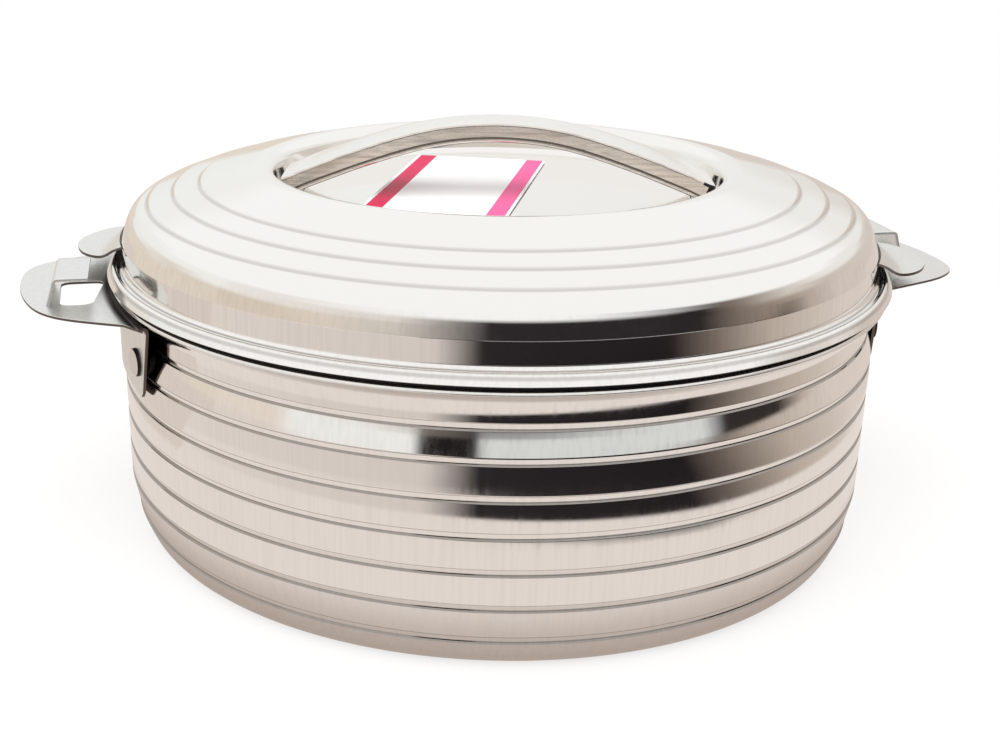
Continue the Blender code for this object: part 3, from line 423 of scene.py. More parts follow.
def polished_stainless(
        name, tint, roughness, streak=0.05, grain=AROUND, shade=0.10, clear_above=None, shade_marks=None,
        shade_colour="#6F625A"):
    """Stainless sheet, spun and buffed on a wheel: near mirror, with very fine lines left by the
    buff, faint clouds where it cut deeper, and a slow waviness of the sheet. Where shade lines or
    patches are given, they are painted into its colour as shade."""
    made, tree, where = new_material(name)
    along_x = add_node(
        tree, "ShaderNodeMapping", {"vector_type": "TEXTURE", "Rotation": (0.0, 0.0, LID_TURN)},
        {"Vector": where},
    )
    stretched = add_node(tree, "ShaderNodeMapping", {"Scale": grain}, {"Vector": along_x})
    lines = add_node(
        tree, "ShaderNodeTexNoise", {"Scale": 1.0, "Detail": 3.0}, {"Vector": stretched}
    )
    clouds = add_node(
        tree, "ShaderNodeTexNoise", {"Scale": 1 / CLOUD_SIZE, "Detail": 3.0}, {"Vector": where}
    )
    both = add_node(tree, "ShaderNodeMath", {"operation": "MULTIPLY"}, {0: lines, 1: clouds})
    rough = add_node(
        tree, "ShaderNodeMapRange",
        {
            "From Min": ROUGH_SPAN[0], "From Max": ROUGH_SPAN[1],
            "To Min": roughness - streak / 2, "To Max": roughness + streak,
        },
        {"Value": both},
    )
    waves = add_node(
        tree, "ShaderNodeTexNoise", {"Scale": 1 / WAVE_SIZE, "Detail": 1.0}, {"Vector": where}
    )
    bump = add_node(
        tree, "ShaderNodeBump", {"Strength": WAVE_STRENGTH, "Distance": WAVE_DEPTH},
        {"Height": waves},
    )
    share = add_node(
        tree, "ShaderNodeMapRange",
        {"From Min": SHADE_SPAN[0], "From Max": SHADE_SPAN[1], "To Min": 0.0, "To Max": shade},
        {"Value": lines},
    )
    if clear_above:
        height = add_node(tree, "ShaderNodeSeparateXYZ", None, {"Vector": where}).outputs["Z"]
        below = add_node(
            tree, "ShaderNodeMapRange",
            {"From Min": clear_above + CLEAR_FADE, "From Max": clear_above}, {"Value": height},
        )
        share = add_node(tree, "ShaderNodeMath", {"operation": "MULTIPLY"}, {0: share, 1: below})
    colour = add_node(
        tree, "ShaderNodeMix", {"data_type": "RGBA", 6: linear(tint), 7: linear(DULLED)},
        {"Factor": share},
    ).outputs[2]
    if shade_marks:
        colour = add_node(
            tree, "ShaderNodeMix", {"data_type": "RGBA", 7: linear(shade_colour)},
            {"Factor": shade_marks(tree, where), 6: colour},
        ).outputs[2]
    shader = add_node(
        tree, "ShaderNodeBsdfPrincipled", {"Metallic": 1.0},
        {"Base Color": colour, "Roughness": rough, "Normal": bump},
    )
    add_node(tree, "ShaderNodeOutputMaterial", None, {"Surface": shader})
    return made


def plain_finish(name, colour, roughness, metallic=0.0, grain=2.5 * MM, depth=0.1):
    """A moulded, foamed, sheared or unbuffed surface with a fine grain in its gloss and relief,
    drawn coarser than real grit so that it shows."""
    made, tree, where = new_material(name)
    noise = add_node(
        tree, "ShaderNodeTexNoise", {"Scale": 1 / grain, "Detail": 2.0}, {"Vector": where}
    )
    rough = add_node(
        tree, "ShaderNodeMapRange",
        {"To Min": roughness - GRAIN_ROUGHNESS, "To Max": roughness + GRAIN_ROUGHNESS},
        {"Value": noise},
    )
    bump = add_node(
        tree, "ShaderNodeBump", {"Strength": depth, "Distance": GRAIN_DEPTH}, {"Height": noise}
    )
    shader = add_node(
        tree, "ShaderNodeBsdfPrincipled", {"Base Color": linear(colour), "Metallic": metallic},
        {"Roughness": rough, "Normal": bump},
    )
    add_node(tree, "ShaderNodeOutputMaterial", None, {"Surface": shader})
    return made


def fill_ramp(ramp, stops):
    """Sets the colours of a ramp from (position, hex colour) stops in order along it."""
    elements = ramp.color_ramp.elements
    for element, (position, colour) in zip(elements, (stops[0], stops[-1])):
        element.position = position
        element.color = linear(colour)
    for position, colour in stops[1:-1]:
        elements.new(position).color = linear(colour)


def striped_card():
    """Coated card with a plain stripe along each long edge, printed and slightly glossy. Its grain
    is drawn coarser than that of real paper, so that it shows."""
    made, tree, where = new_material("coated_card_printed")
    along_card = add_node(
        tree, "ShaderNodeMapping",
        {"vector_type": "TEXTURE", "Rotation": (0.0, 0.0, LID_TURN + CARD_TURN)},
        {"Vector": where},
    )
    across = add_node(tree, "ShaderNodeSeparateXYZ", None, {"Vector": along_card}).outputs["Y"]
    edge = CARD_LEFT + CARD_WIDTH / 2
    place = add_node(
        tree, "ShaderNodeMapRange", {"From Min": edge, "From Max": edge - CARD_WIDTH},
        {"Value": across},
    )
    ramp = add_node(tree, "ShaderNodeValToRGB", None, {"Fac": place})
    ramp.color_ramp.interpolation = "CONSTANT"
    stripe = STRIPE_WIDTH / CARD_WIDTH
    # Part of the difference between the two stripes is painted light: the left one is darker as
    # painted shade from the strap, the right one paler as a painted highlight
    fill_ramp(ramp, (
        (0.0, "#F4F3F4"), (STRIPE_MARGIN, "#CC0F4C"), (STRIPE_MARGIN + stripe, "#F4F3F4"),
        (1 - STRIPE_MARGIN - stripe, "#EE5A98"), (1 - STRIPE_MARGIN, "#F4F3F4"),
    ))
    noise = add_node(
        tree, "ShaderNodeTexNoise", {"Scale": 1 / PAPER_GRAIN, "Detail": 2.0}, {"Vector": where}
    )
    rough = add_node(
        tree, "ShaderNodeMapRange",
        {"To Min": PAPER_ROUGHNESS[0], "To Max": PAPER_ROUGHNESS[1]}, {"Value": noise},
    )
    shader = add_node(
        tree, "ShaderNodeBsdfPrincipled", {"Specular IOR Level": 0.25},
        {"Base Color": ramp, "Roughness": rough},
    )
    add_node(tree, "ShaderNodeOutputMaterial", None, {"Surface": shader})
    return made


def softened(corners):
    """A line of (radius, height, rounding) corners with each corner drawn round."""
    line = []
    for index, (radius, height, rounding) in enumerate(corners):
        corner = Vector((radius, height))
        if rounding == 0 or index in (0, len(corners) - 1):
            line.append((radius, height))
            continue
        before = Vector(corners[index - 1][:2]) - corner
        after = Vector(corners[index + 1][:2]) - corner
        start = corner + before.normalized() * min(rounding, before.length / 2)
        end = corner + after.normalized() * min(rounding, after.length / 2)
        for step in range(CORNER_STEPS + 1):
            share = step / CORNER_STEPS
            spot = start * (1 - share) ** 2 + corner * 2 * share * (1 - share) + end * share ** 2
            line.append((spot.x, spot.y))
    return with_supports(line)


def with_supports(line):
    """The line with points set close to both ends of each long straight part, which keep it
    straight to the eye where smooth shading would bend it."""
    held = [line[0]]
    for one, two in zip(line, line[1:]):
        start = Vector(one)
        run = Vector(two) - start
        if run.length > SUPPORT_SPAN:
            near = run.normalized() * SUPPORT_REACH
            held.append(tuple(start + near))
            held.append(tuple(start + run - near))
        held.append(two)
    return held


def offset_line(line, distance):
    """The line moved to its right-hand side by distance, with mitred corners."""
    slopes = []
    for one, two in zip(line, line[1:]):
        slopes.append((Vector(two) - Vector(one)).normalized())
    moved = []
    for index, point in enumerate(line):
        before = slopes[max(index - 1, 0)]
        after = slopes[min(index, len(slopes) - 1)]
        along = before + after
        side = Vector((along.y, -along.x))
        moved.append(tuple(Vector(point) + side * (2 * distance / side.length_squared)))
    return moved


def add_object(name, data):
    made = bpy.data.objects.new(name, data)
    bpy.context.scene.collection.objects.link(made)
    return made


def mesh_object(bm, name, materials):
    """Adds the mesh that was drawn, with its materials."""
    mesh = bpy.data.meshes.new(name)
    bm.to_mesh(mesh)
    bm.free()
    for material in materials:
        mesh.materials.append(material)
    return add_object(name, mesh)


def turn_to_place(bm, turn):
    """Merges the doubled points of what was drawn along X, and turns it to its place."""
    bmesh.ops.remove_doubles(bm, verts=bm.verts, dist=MERGE_DISTANCE)
    rotation = Matrix.Rotation(turn, 3, "Z")
    bmesh.ops.rotate(bm, verts=bm.verts, cent=(0.0, 0.0, 0.0), matrix=rotation)


def finish_mesh(bm, name, materials, turn=0.0):
    """Adds a closed mesh, turned to its place, with its faces outward."""
    turn_to_place(bm, turn)
    bmesh.ops.recalc_face_normals(bm, faces=bm.faces)
    made = mesh_object(bm, name, materials)
    made.data.shade_smooth()
    made.data.set_sharp_from_angle(angle=SHARP_ANGLE)
    return made


def ring_of_points(bm, radius, height, sides):
    """Points round the axis; a ring without a radius is a single pole."""
    if radius <= 0:
        return [bm.verts.new((0.0, 0.0, height))]
    ring = []
    for side in range(sides):
        angle = side * 2 * math.pi / sides
        ring.append(bm.verts.new((radius * math.cos(angle), radius * math.sin(angle), height)))
    return ring


def ring_faces(bm, one, two):
    """Faces between two rings of points, or between a ring and a pole, in the rings' order."""
    count = max(len(one), len(two))
    faces = []
    for side in range(count):
        after = (side + 1) % count
        if len(one) == 1:
            corners = (one[0], two[side], two[after])
        elif len(two) == 1:
            corners = (one[side], one[after], two[0])
        else:
            corners = (one[side], one[after], two[after], two[side])
        faces.append(bm.faces.new(corners))
    return faces


def grid_faces(bm, lines):
    """Faces between neighbouring lines of points of the same count."""
    for one, two in zip(lines, lines[1:]):
        for index in range(len(one) - 1):
            bm.faces.new((one[index], two[index], two[index + 1], one[index + 1]))


def turned_piece(name, line, material):
    """A closed line of (radius, height) points spun about Z; points on the axis become poles."""
    bm = bmesh.new()
    rings = [ring_of_points(bm, radius, height, SIDES) for radius, height in line]
    ends_are_poles = len(rings[0]) == 1 and len(rings[-1]) == 1
    if not ends_are_poles:
        rings.append(rings[0])
    for one, two in zip(rings, rings[1:]):
        ring_faces(bm, one, two)
    return finish_mesh(bm, name, [material])


def shell_line():
    """Outer face of the ridged wall, from the neck down to the foot: bands that swell a little,
    each with a bevel, a crease and a narrow strip under it."""
    neck = RIM_RADIUS - NECK_INSET
    body = RIM_RADIUS - BODY_INSET
    foot = RIM_RADIUS - FOOT_INSET
    grooves = [(neck + NECK_GROOVE_OUT, SEAM - NECK_HEIGHT)]
    grooves += [(body, FIRST_BAND - count * BAND_PITCH) for count in range(BAND_COUNT)]
    grooves.append((foot, FOOT_HEIGHT))
    line = [
        (RIM_RADIUS + inward, RIM_TOP - RIM_CURL + up, rounding)
        for inward, up, rounding in UNDER_CURL
    ]
    line += [(neck + out, SEAM - NECK_HEIGHT + up, rounding) for out, up, rounding in NECK_SWEEP]
    for (radius, height), below in zip(grooves, grooves[1:] + [None]):
        line.append((radius, height + BEVEL_HEIGHT, BEVEL_ROUNDING))
        line.append((radius - BEVEL_DEPTH, height, CREASE_ROUNDING))
        line.append((radius - BEVEL_DEPTH + LEDGE_DEPTH, height - LEDGE_HEIGHT, CREASE_ROUNDING))
        if below:
            middle = (radius + below[0]) / 2 + BAND_BULGE
            low = below[1] + BEVEL_HEIGHT
            line.append((middle, (height - LEDGE_HEIGHT + low) / 2, BAND_ROUNDING))
    line.append((*BASE_EDGE, 3 * MM))
    line.append((STAND_RADIUS, 0.0, 1.2 * MM))
    return line


def shell_wall(material):
    """The ridged wall, turned in at its foot to the ring that it stands on and the raised base."""
    inner_edge = STAND_RADIUS - STAND_WIDTH
    inside = BASE_RISE + WALL
    line = shell_line() + [
        (inner_edge, 0.0, 1 * MM),
        (inner_edge - 2 * MM, BASE_RISE, 1.5 * MM),
        (PLUG_HOLE_RADIUS, BASE_RISE, 0.3 * MM),
        (PLUG_HOLE_RADIUS, inside, 0),
        (inner_edge - 2 * MM, inside, 1 * MM),
        (BASE_EDGE[0] - 4 * MM, inside, 1 * MM),
        (RIM_RADIUS - FOOT_INSET - INNER_INSET, FOOT_HEIGHT, 1 * MM),
        (RIM_RADIUS - NECK_INSET - INNER_INSET, SEAM - NECK_HEIGHT, 1 * MM),
        (RIM_RADIUS - 3.2 * MM, RIM_TOP - WALL - 0.3 * MM, 0),
    ]
    piece = turned_piece("shell_wall", softened(line), material)
    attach(piece, "base")
    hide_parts("outer_shell")


def bowl_and_rim(material):
    """Drawn bowl: its rim lies flat over the wall's edge and curls down round it."""
    inside = [
        (RIM_RADIUS - 0.75 * MM, RIM_TOP - RIM_CURL, 0.3 * MM),
        (RIM_RADIUS, RIM_TOP - 1.0 * MM, 0.25 * MM),
        (RIM_RADIUS - 0.5 * MM, RIM_TOP - 0.22 * MM, 0.12 * MM),
        (RIM_RADIUS - 1.2 * MM, RIM_TOP, 0.3 * MM),
        (BOWL_RADIUS + BOWL_LIP, RIM_TOP, 1.2 * MM),
        (BOWL_RADIUS, RIM_TOP - BOWL_LIP, 1.2 * MM),
    ]
    for step in range(BOWL_CORNER_STEPS + 1):
        angle = step * math.pi / 2 / BOWL_CORNER_STEPS
        inside.append((
            BOWL_FLOOR_RADIUS - BOWL_CORNER * (1 - math.cos(angle)),
            BOWL_FLOOR + BOWL_CORNER * (1 - math.sin(angle)), 0,
        ))
    inside.append((0.0, BOWL_FLOOR, 0))
    inner = softened(inside)
    outer = offset_line(inner, -WALL)
    piece = turned_piece("bowl_and_rim", outer[::-1] + inner, material)
    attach(piece, "base")
    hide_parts("inner_bowl")


def seal_ring(material):
    """Flat ring with a raised outer lip, which fills the gap between the rim and the lid."""
    outer = SEAL_HIGH[0] - SEAL_INSET
    inner = outer - SEAL_WIDTH
    low = SEAL_LOW[2] - SEAL_SWELL
    high = SEAL_HIGH[2] + SEAL_RISE
    ring = [
        (outer, high, 0.2 * MM), (outer, low, 0.2 * MM), (outer - 3 * MM, SEAL_LOW[2], 0),
        (inner, SEAL_LOW[2], 0), (inner, SEAL_HIGH[2], 0), (outer - 4 * MM, SEAL_HIGH[2], 0),
        (outer - 3 * MM, high, 0.3 * MM),
        (outer, high, 0),
    ]
    piece = turned_piece("seal_ring", softened(ring), material)
    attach(piece, "seal")
    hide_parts("rim_seal")


def dome_line():
    """The lid's top from the middle of the recess to the head of its wall."""
    floor = RECESS_FLOOR
    crown = SEAM + CROWN_HEIGHT
    line = [
        (0.0, floor, 0),
        (RECESS_RADIUS - RECESS_SLOPE, floor, 2.2 * MM),
        (RECESS_RADIUS - 1.2 * MM, crown - 1.6 * MM, 2.2 * MM),
        (RECESS_RADIUS + 3.5 * MM, crown, 3 * MM),
    ]
    for radius, height in zip(STEP_RADII, STEP_HEIGHTS):
        line.append((radius - STEP_RUN / 2, SEAM + height + STEP_DROP / 2, STEP_ROUNDING))
        line.append((radius + STEP_RUN / 2, SEAM + height - STEP_DROP / 2, STEP_ROUNDING))
    return line + [(radius, SEAM + height, rounding) for radius, height, rounding in SHOULDER]


def lid_dome(material):
    """The lid's cover: its dome, and the flange and rolled bead round its foot."""
    top = SEAM + BEAD_HEIGHT
    low = SEAM + LID_LIFT
    outer = softened(dome_line() + [(FOOT_RADIUS, top + 1.2 * MM, 0)])
    edge = softened([
        (FOOT_RADIUS, top + 1.2 * MM, 0),
        (FOOT_RADIUS + 1.0 * MM, top - 0.1 * MM, 0.8 * MM),
        (LID_RADIUS - 3.6 * MM, top - 0.3 * MM, 0.4 * MM),
        (LID_RADIUS - 2.9 * MM, top, 0.5 * MM),
        (LID_RADIUS - 1.9 * MM, top - 0.3 * MM, 0.8 * MM),
        (LID_RADIUS - 0.05 * MM, low + 0.2 * MM, 0.12 * MM),
        (LID_RADIUS - 0.4 * MM, low, 0.1 * MM),
        (PAN_FLANGE_RADIUS + 0.6 * MM, low, 0),
        (FOOT_RADIUS - COVER_WALL, low + 1.3 * MM, 0),
    ])
    under = offset_line(outer[:-1], COVER_WALL)
    piece = turned_piece("lid_dome", outer[:-1] + edge + under[::-1], material)
    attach(piece, "lid")
    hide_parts("lid_cover")


def lid_inner_pan(material):
    """Pan pressed into the lid's underside, with a shallow ring in its floor."""
    floor = SEAM - PAN_DEPTH
    low = SEAM + LID_LIFT
    under = softened([
        (0.0, floor, 0),
        (PAN_RADIUS - 26 * MM, floor, 1 * MM),
        (PAN_RADIUS - 27 * MM, floor + 0.8 * MM, 1 * MM),
        (PAN_RADIUS - 12 * MM, floor + 0.8 * MM, 1 * MM),
        (PAN_RADIUS - 11 * MM, floor, 1 * MM),
        (PAN_RADIUS, floor, PAN_CORNER),
        (PAN_RADIUS, low, 0.8 * MM),
        (PAN_FLANGE_RADIUS, low, 0),
    ])
    over = offset_line(under, -WALL)
    piece = turned_piece("lid_inner_pan", under + over[::-1], material)
    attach(piece, "lid")
    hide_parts("lid_pan")


def arch_path():
    """Middle line of the strap with its slopes: a wide crown that straightens towards its ends,
    which stop short of the recess wall."""
    half = []
    last = len(ARCH_HEIGHTS) - 1
    spread = ARCH_END_REACH / last
    for step in range(ARCH_STATIONS + 1):
        position = last * step / ARCH_STATIONS
        nudge = 0.01
        low = share_at(ARCH_HEIGHTS, max(position - nudge, 0))
        high = share_at(ARCH_HEIGHTS, min(position + nudge, last))
        run = (min(position + nudge, last) - max(position - nudge, 0)) * spread
        angle = math.atan2(low - high, run) if step else 0.0
        x = position * spread - math.sin(angle) * ARCH_THICKNESS / 2
        z = SEAM + share_at(ARCH_HEIGHTS, position) - math.cos(angle) * ARCH_THICKNESS / 2
        half.append((x, z, angle))
    left = [(-x, z, -angle) for x, z, angle in half[:0:-1]]
    return left + half


def arch_width(x):
    """Width of the strap: narrow over its middle, and flared towards its feet."""
    start_share, end_share = ARCH_FLARE_SHARES
    along = (abs(x) / ARCH_END_REACH - start_share) / (end_share - start_share)
    along = min(max(along, 0.0), 1.0)
    return ARCH_WIDTH + (ARCH_FOOT_WIDTH - ARCH_WIDTH) * along * along * (3 - 2 * along)


def strap_section(width):
    """Half of the strap's outline, across Y and through its thickness, from the middle of its
    crowned top down its side to the rolled lower edge and under it."""
    half_width = width / 2
    half_height = ARCH_THICKNESS / 2
    return softened([
        (0.0, half_height, 0),
        (half_width * 0.6, half_height - 0.1 * MM, 2 * MM),
        (half_width - 0.25 * MM, half_height - 0.35 * MM, 0.9 * MM),
        (half_width - 0.45 * MM, 1.7 * MM - half_height, 0.5 * MM),
        (half_width, 1.5 * MM - half_height, 0.35 * MM),
        (half_width, 0.4 * MM - half_height, 0.45 * MM),
        (half_width - 1.2 * MM, -half_height, 0.5 * MM),
        (0.0, -half_height, 0),
    ])


def strap_finish(one, two, half_width):
    """Which of its four finishes a facet of the strap gets: 0 on its crowned top, 1 on its sides
    and its underside, and 2 on the painted shade lines above and under its rolled edge."""
    across = (abs(one[0]) + abs(two[0])) / 2
    height = (one[1] + two[1] + ARCH_THICKNESS) / 2
    if height > ARCH_THICKNESS - ARCH_TOP_BAND:
        return 0
    above_edge = ARCH_LIP_SHADE_LINE[0] < height < ARCH_LIP_SHADE_LINE[1]
    under_edge = height < 0.4 * MM and across > half_width - 1.3 * MM
    return 2 if above_edge or under_edge else 1


def hollow_end(bm, face, side):
    """Opens the strap's end: its wall shows, and behind it the hollow, painted dark as its shade.
    """
    face.normal_update()
    bmesh.ops.inset_region(bm, faces=[face], thickness=ARCH_WALL, use_even_offset=True)
    face.material_index = 3
    grown = bmesh.ops.extrude_face_region(bm, geom=[face])
    for item in grown["geom"]:
        if isinstance(item, bmesh.types.BMFace):
            item.material_index = 3
    moved = [item for item in grown["geom"] if isinstance(item, bmesh.types.BMVert)]
    bmesh.ops.translate(bm, verts=moved, vec=(-side * ARCH_HOLLOW, 0.0, ARCH_HOLLOW / 3))
    bmesh.ops.delete(bm, geom=[face], context="FACES_ONLY")


def arch_strap(finishes):
    """The strap: the sides of its right end are painted dark as shade."""
    bm = bmesh.new()
    rings = []
    kinds = []
    for x, z, angle in arch_path():
        half = strap_section(arch_width(x))
        section = half + [(-across, through) for across, through in half[-2:0:-1]]
        if not kinds:
            for one, two in zip(section, section[1:] + section[:1]):
                kinds.append(strap_finish(one, two, arch_width(x) / 2))
        normal = Vector((math.sin(angle), 0.0, math.cos(angle)))
        ring = []
        for across, through in section:
            ring.append(bm.verts.new(Vector((x, across, z)) + normal * through))
        rings.append(ring)
    for one, two in zip(rings, rings[1:]):
        for side, facet in enumerate(ring_faces(bm, one, two)):
            # Painted shade: the sides near the right end take the dark back finish
            shaded_end = one[side].co.x > ARCH_SHADED_END and kinds[side] > 0
            facet.material_index = 3 if shaded_end else kinds[side]
    for ring, side in ((rings[0], -1), (rings[-1], 1)):
        hollow_end(bm, bm.faces.new(ring), side)
    piece = finish_mesh(bm, "arch_strap", finishes, LID_TURN)
    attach(piece, "lid")
    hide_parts("arch_handle")


def share_at(shares, position):
    """Smooth value of a table of shares at a position from 0 to its last entry."""
    low = min(int(position), len(shares) - 2)
    part = position - low
    before = shares[max(low - 1, 0)]
    after = shares[min(low + 2, len(shares) - 1)]
    one = shares[low]
    two = shares[low + 1]
    slope_one = (two - before) / 2
    slope_two = (after - one) / 2
    cube = part ** 3
    square = part ** 2
    return (
        (2 * cube - 3 * square + 1) * one
        + (cube - 2 * square + part) * slope_one
        + (3 * square - 2 * cube) * two
        + (cube - square) * slope_two
    )


def ear_wing(name, node, turn, finishes):
    """A wing of sheet from the lid's wall over the bead to the flat tab."""
    root = FOOT_RADIUS + EAR_ROOT_GAP
    bm = bmesh.new()
    rows = []
    last = len(EAR_REACH_SHARES) - 1
    for row in range(EAR_ROWS + 1):
        position = last * row / EAR_ROWS
        reach = share_at(EAR_REACH_SHARES, position)
        width = share_at(EAR_WIDTH_SHARES, position)
        height = share_at(EAR_HEIGHT_SHARES, position)
        radius = root + reach * (EAR_TIP - root)
        half_angle = width * EAR_ROOT_HALF_WIDTH / radius
        middle = SEAM + EAR_TAB_HEIGHT + height * (EAR_ROOT_HEIGHT - EAR_TAB_HEIGHT)
        cells = []
        for column in range(EAR_COLUMNS + 1):
            aside = 2 * column / EAR_COLUMNS - 1
            angle = half_angle * aside
            bowed = radius + EAR_ROOT_BOW * (1 - aside ** 2) * (1 - reach) ** 4
            cells.append(bm.verts.new((bowed * math.cos(angle), bowed * math.sin(angle), middle)))
        rows.append(cells)
    grid_faces(bm, rows)
    piece = thickened(bm, name, finishes, turn + LID_TURN)
    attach(piece, "lid")
    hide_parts(node)


def thickened(bm, name, finishes, turn):
    """Turns an open sheet to its place, gives it its thickness downward or inward, and rounds its
    edges. Its finishes are those of its face, its sheared edge and its back."""
    turn_to_place(bm, turn)
    piece = mesh_object(bm, name, finishes)
    wall = piece.modifiers.new("thickness", "SOLIDIFY")
    wall.thickness = SHEET
    wall.offset = -1
    wall.material_offset = 2
    wall.material_offset_rim = 1
    edges = piece.modifiers.new("edges", "BEVEL")
    edges.width = EDGE_ROUNDING / 2
    edges.segments = 3
    edges.limit_method = "ANGLE"
    edges.angle_limit = math.radians(60)
    return baked(piece)


def baked(piece):
    """Turns a piece with modifiers, or a curve, into a plain mesh piece of the same name."""
    name = piece.name
    bpy.context.view_layer.update()
    graph = bpy.context.evaluated_depsgraph_get()
    mesh = bpy.data.meshes.new_from_object(piece.evaluated_get(graph))
    materials = [slot.material for slot in piece.material_slots]
    bpy.data.objects.remove(piece, do_unlink=True)
    if not mesh.materials:
        for material in materials:
            mesh.materials.append(material)
    mesh.name = name
    mesh.shade_smooth()
    mesh.set_sharp_from_angle(angle=SHARP_ANGLE)
    return add_object(name, mesh)


def handle_plate(side, turn, finishes):
    """The flat of the handle, cut to its outline and its window, with edges that the stamping
    rounded."""
    name = f"handle_plate_{side}"
    curve = bpy.data.curves.new(name, "CURVE")
    curve.dimensions = "2D"
    curve.fill_mode = "BOTH"
    curve.extrude = SHEET / 2 - EDGE_ROUNDING
    curve.bevel_depth = EDGE_ROUNDING
    curve.bevel_resolution = 2
    curve.offset = -EDGE_ROUNDING
    rotation = Matrix.Rotation(turn, 3, "Z")
    for outline in (handle_outline(side), rounded_polygon(WINDOW_CORNERS, WINDOW_CORNER)):
        spline = curve.splines.new("POLY")
        spline.points.add(len(outline) - 1)
        for point, (x, y) in zip(spline.points, outline):
            spun = rotation @ Vector((x, y, 0.0))
            point.co = (spun.x, spun.y, 0.0, 1.0)
        spline.use_cyclic_u = True
    for finish in finishes:
        curve.materials.append(finish)
    plate = baked(add_object(name, curve))
    for face in plate.data.polygons:
        face.material_index = 1 if abs(face.normal.z) < SHEARED_SLOPE else 0
    plate.data.transform(Matrix.Translation((0.0, 0.0, HANDLE_TOP - SHEET / 2)))
    return plate


def skirt_face(side, aside):
    """Radius of the skirt's outer face: it lies near the wall and stands off towards its ends, more
    so on the left handle. Aside runs from -1 to 1 along it."""
    return SKIRT_RADIUS + SKIRT_FLARES[side] * aside ** 4


def handle_outline(side):
    """Seen from above: an arc along the skirt's bend, sides that draw in, and a skewed nose."""
    outline = []
    bend_steps = 40
    for step in range(bend_steps + 1):
        aside = 1 - 2 * step / bend_steps
        start = skirt_face(side, aside) - SHEET + SKIRT_BEND
        angle = SKIRT_HALF_ANGLE * aside
        outline.append((start * math.cos(angle), start * math.sin(angle)))
    length = HANDLE_REACH - HANDLE_ROOT
    outward, aside = zip(*HANDLE_SIDE_SHARES)
    steps_each = 6
    for step in range(steps_each * (len(outward) - 1) + 1):
        x = HANDLE_ROOT + length * share_at(outward, step / steps_each)
        outline.append((x, HANDLE_HALF_WIDTH * share_at(aside, step / steps_each)))
    return outline


def rounded_polygon(corners, corner):
    """The corners in order round the shape, each drawn as a soft curve of the given reach."""
    outline = []
    for index, spot in enumerate(corners):
        here = Vector(spot)
        start = here + (Vector(corners[index - 1]) - here).normalized() * corner
        after = corners[(index + 1) % len(corners)]
        end = here + (Vector(after) - here).normalized() * corner
        steps = 10
        for step in range(steps + 1):
            share = step / steps
            curve = start * (1 - share) ** 2 + here * 2 * share * (1 - share) + end * share ** 2
            outline.append((curve.x, curve.y))
    return outline


def skirt_sheet(side, turn, finishes):
    """The flange on the wall: it bends from the plate down to its two rounded lower corners."""
    height = HANDLE_TOP - SKIRT_BOTTOM + SKIRT_EXTRA
    bm = bmesh.new()
    columns = []
    for column in range(SKIRT_SPANS + 1):
        aside = 2 * column / SKIRT_SPANS - 1
        face = skirt_face(side, aside)
        plate_edge = face + SKIRT_BEND + SKIRT_LAP
        from_side = (1 - abs(aside)) * SKIRT_HALF_ANGLE * face
        lift = 0.0
        if from_side < SKIRT_CORNER:
            short = SKIRT_CORNER - from_side
            lift = SKIRT_CORNER - math.sqrt(SKIRT_CORNER ** 2 - short ** 2)
        profile = softened([
            (plate_edge, HANDLE_TOP, 0),
            (face, HANDLE_TOP, SKIRT_BEND),
            (face, HANDLE_TOP - height / 2, 0),
            (face, HANDLE_TOP - height + lift, 0),
        ])
        cells = []
        for radius, z in profile:
            angle = aside * (SKIRT_HALF_ANGLE - SKIRT_SLANT * (HANDLE_TOP - z) / height)
            cells.append(bm.verts.new((radius * math.cos(angle), radius * math.sin(angle), z)))
        columns.append(cells)
    grid_faces(bm, columns[::-1])
    return thickened(bm, f"handle_skirt_{side}", finishes, turn)


def tongue_strip(side, turn, finish):
    """The strip raised out of the window, buffed all over."""
    start = WINDOW_SIDE + TONGUE_SIDE_GAP
    end = WINDOW_SIDE + WINDOW_WIDTH - TONGUE_SIDE_GAP
    top = TONGUE_LOW + SHEET
    profile = softened([
        (WINDOW_FAR + TONGUE_SLOPE + 0.6 * MM, HANDLE_TOP - 0.25 * MM, 0),
        (WINDOW_FAR + TONGUE_SLOPE - 0.1 * MM, HANDLE_TOP - 0.05 * MM, 0.5 * MM),
        (WINDOW_FAR - 0.2 * MM, top, 1.6 * MM),
        (TONGUE_NEAR, top, 0),
    ])
    bm = bmesh.new()
    columns = []
    steps = 12
    for step in range(steps + 1):
        y = start + (end - start) * step / steps
        columns.append([bm.verts.new((x, y, z)) for x, z in profile])
    grid_faces(bm, columns)
    return thickened(bm, f"handle_tongue_{side}", (finish, finish, finish), turn)


def side_handle(side, turn, finishes):
    """Stamped handle: the plate, its raised tongue and its skirt are one sheet."""
    plate = handle_plate(side, turn, finishes)
    skirt = skirt_sheet(side, turn, finishes)
    tongue = tongue_strip(side, turn, finishes[0])
    for piece in (plate, skirt, tongue):
        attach(piece, "base")
        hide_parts(f"handle_{side}")


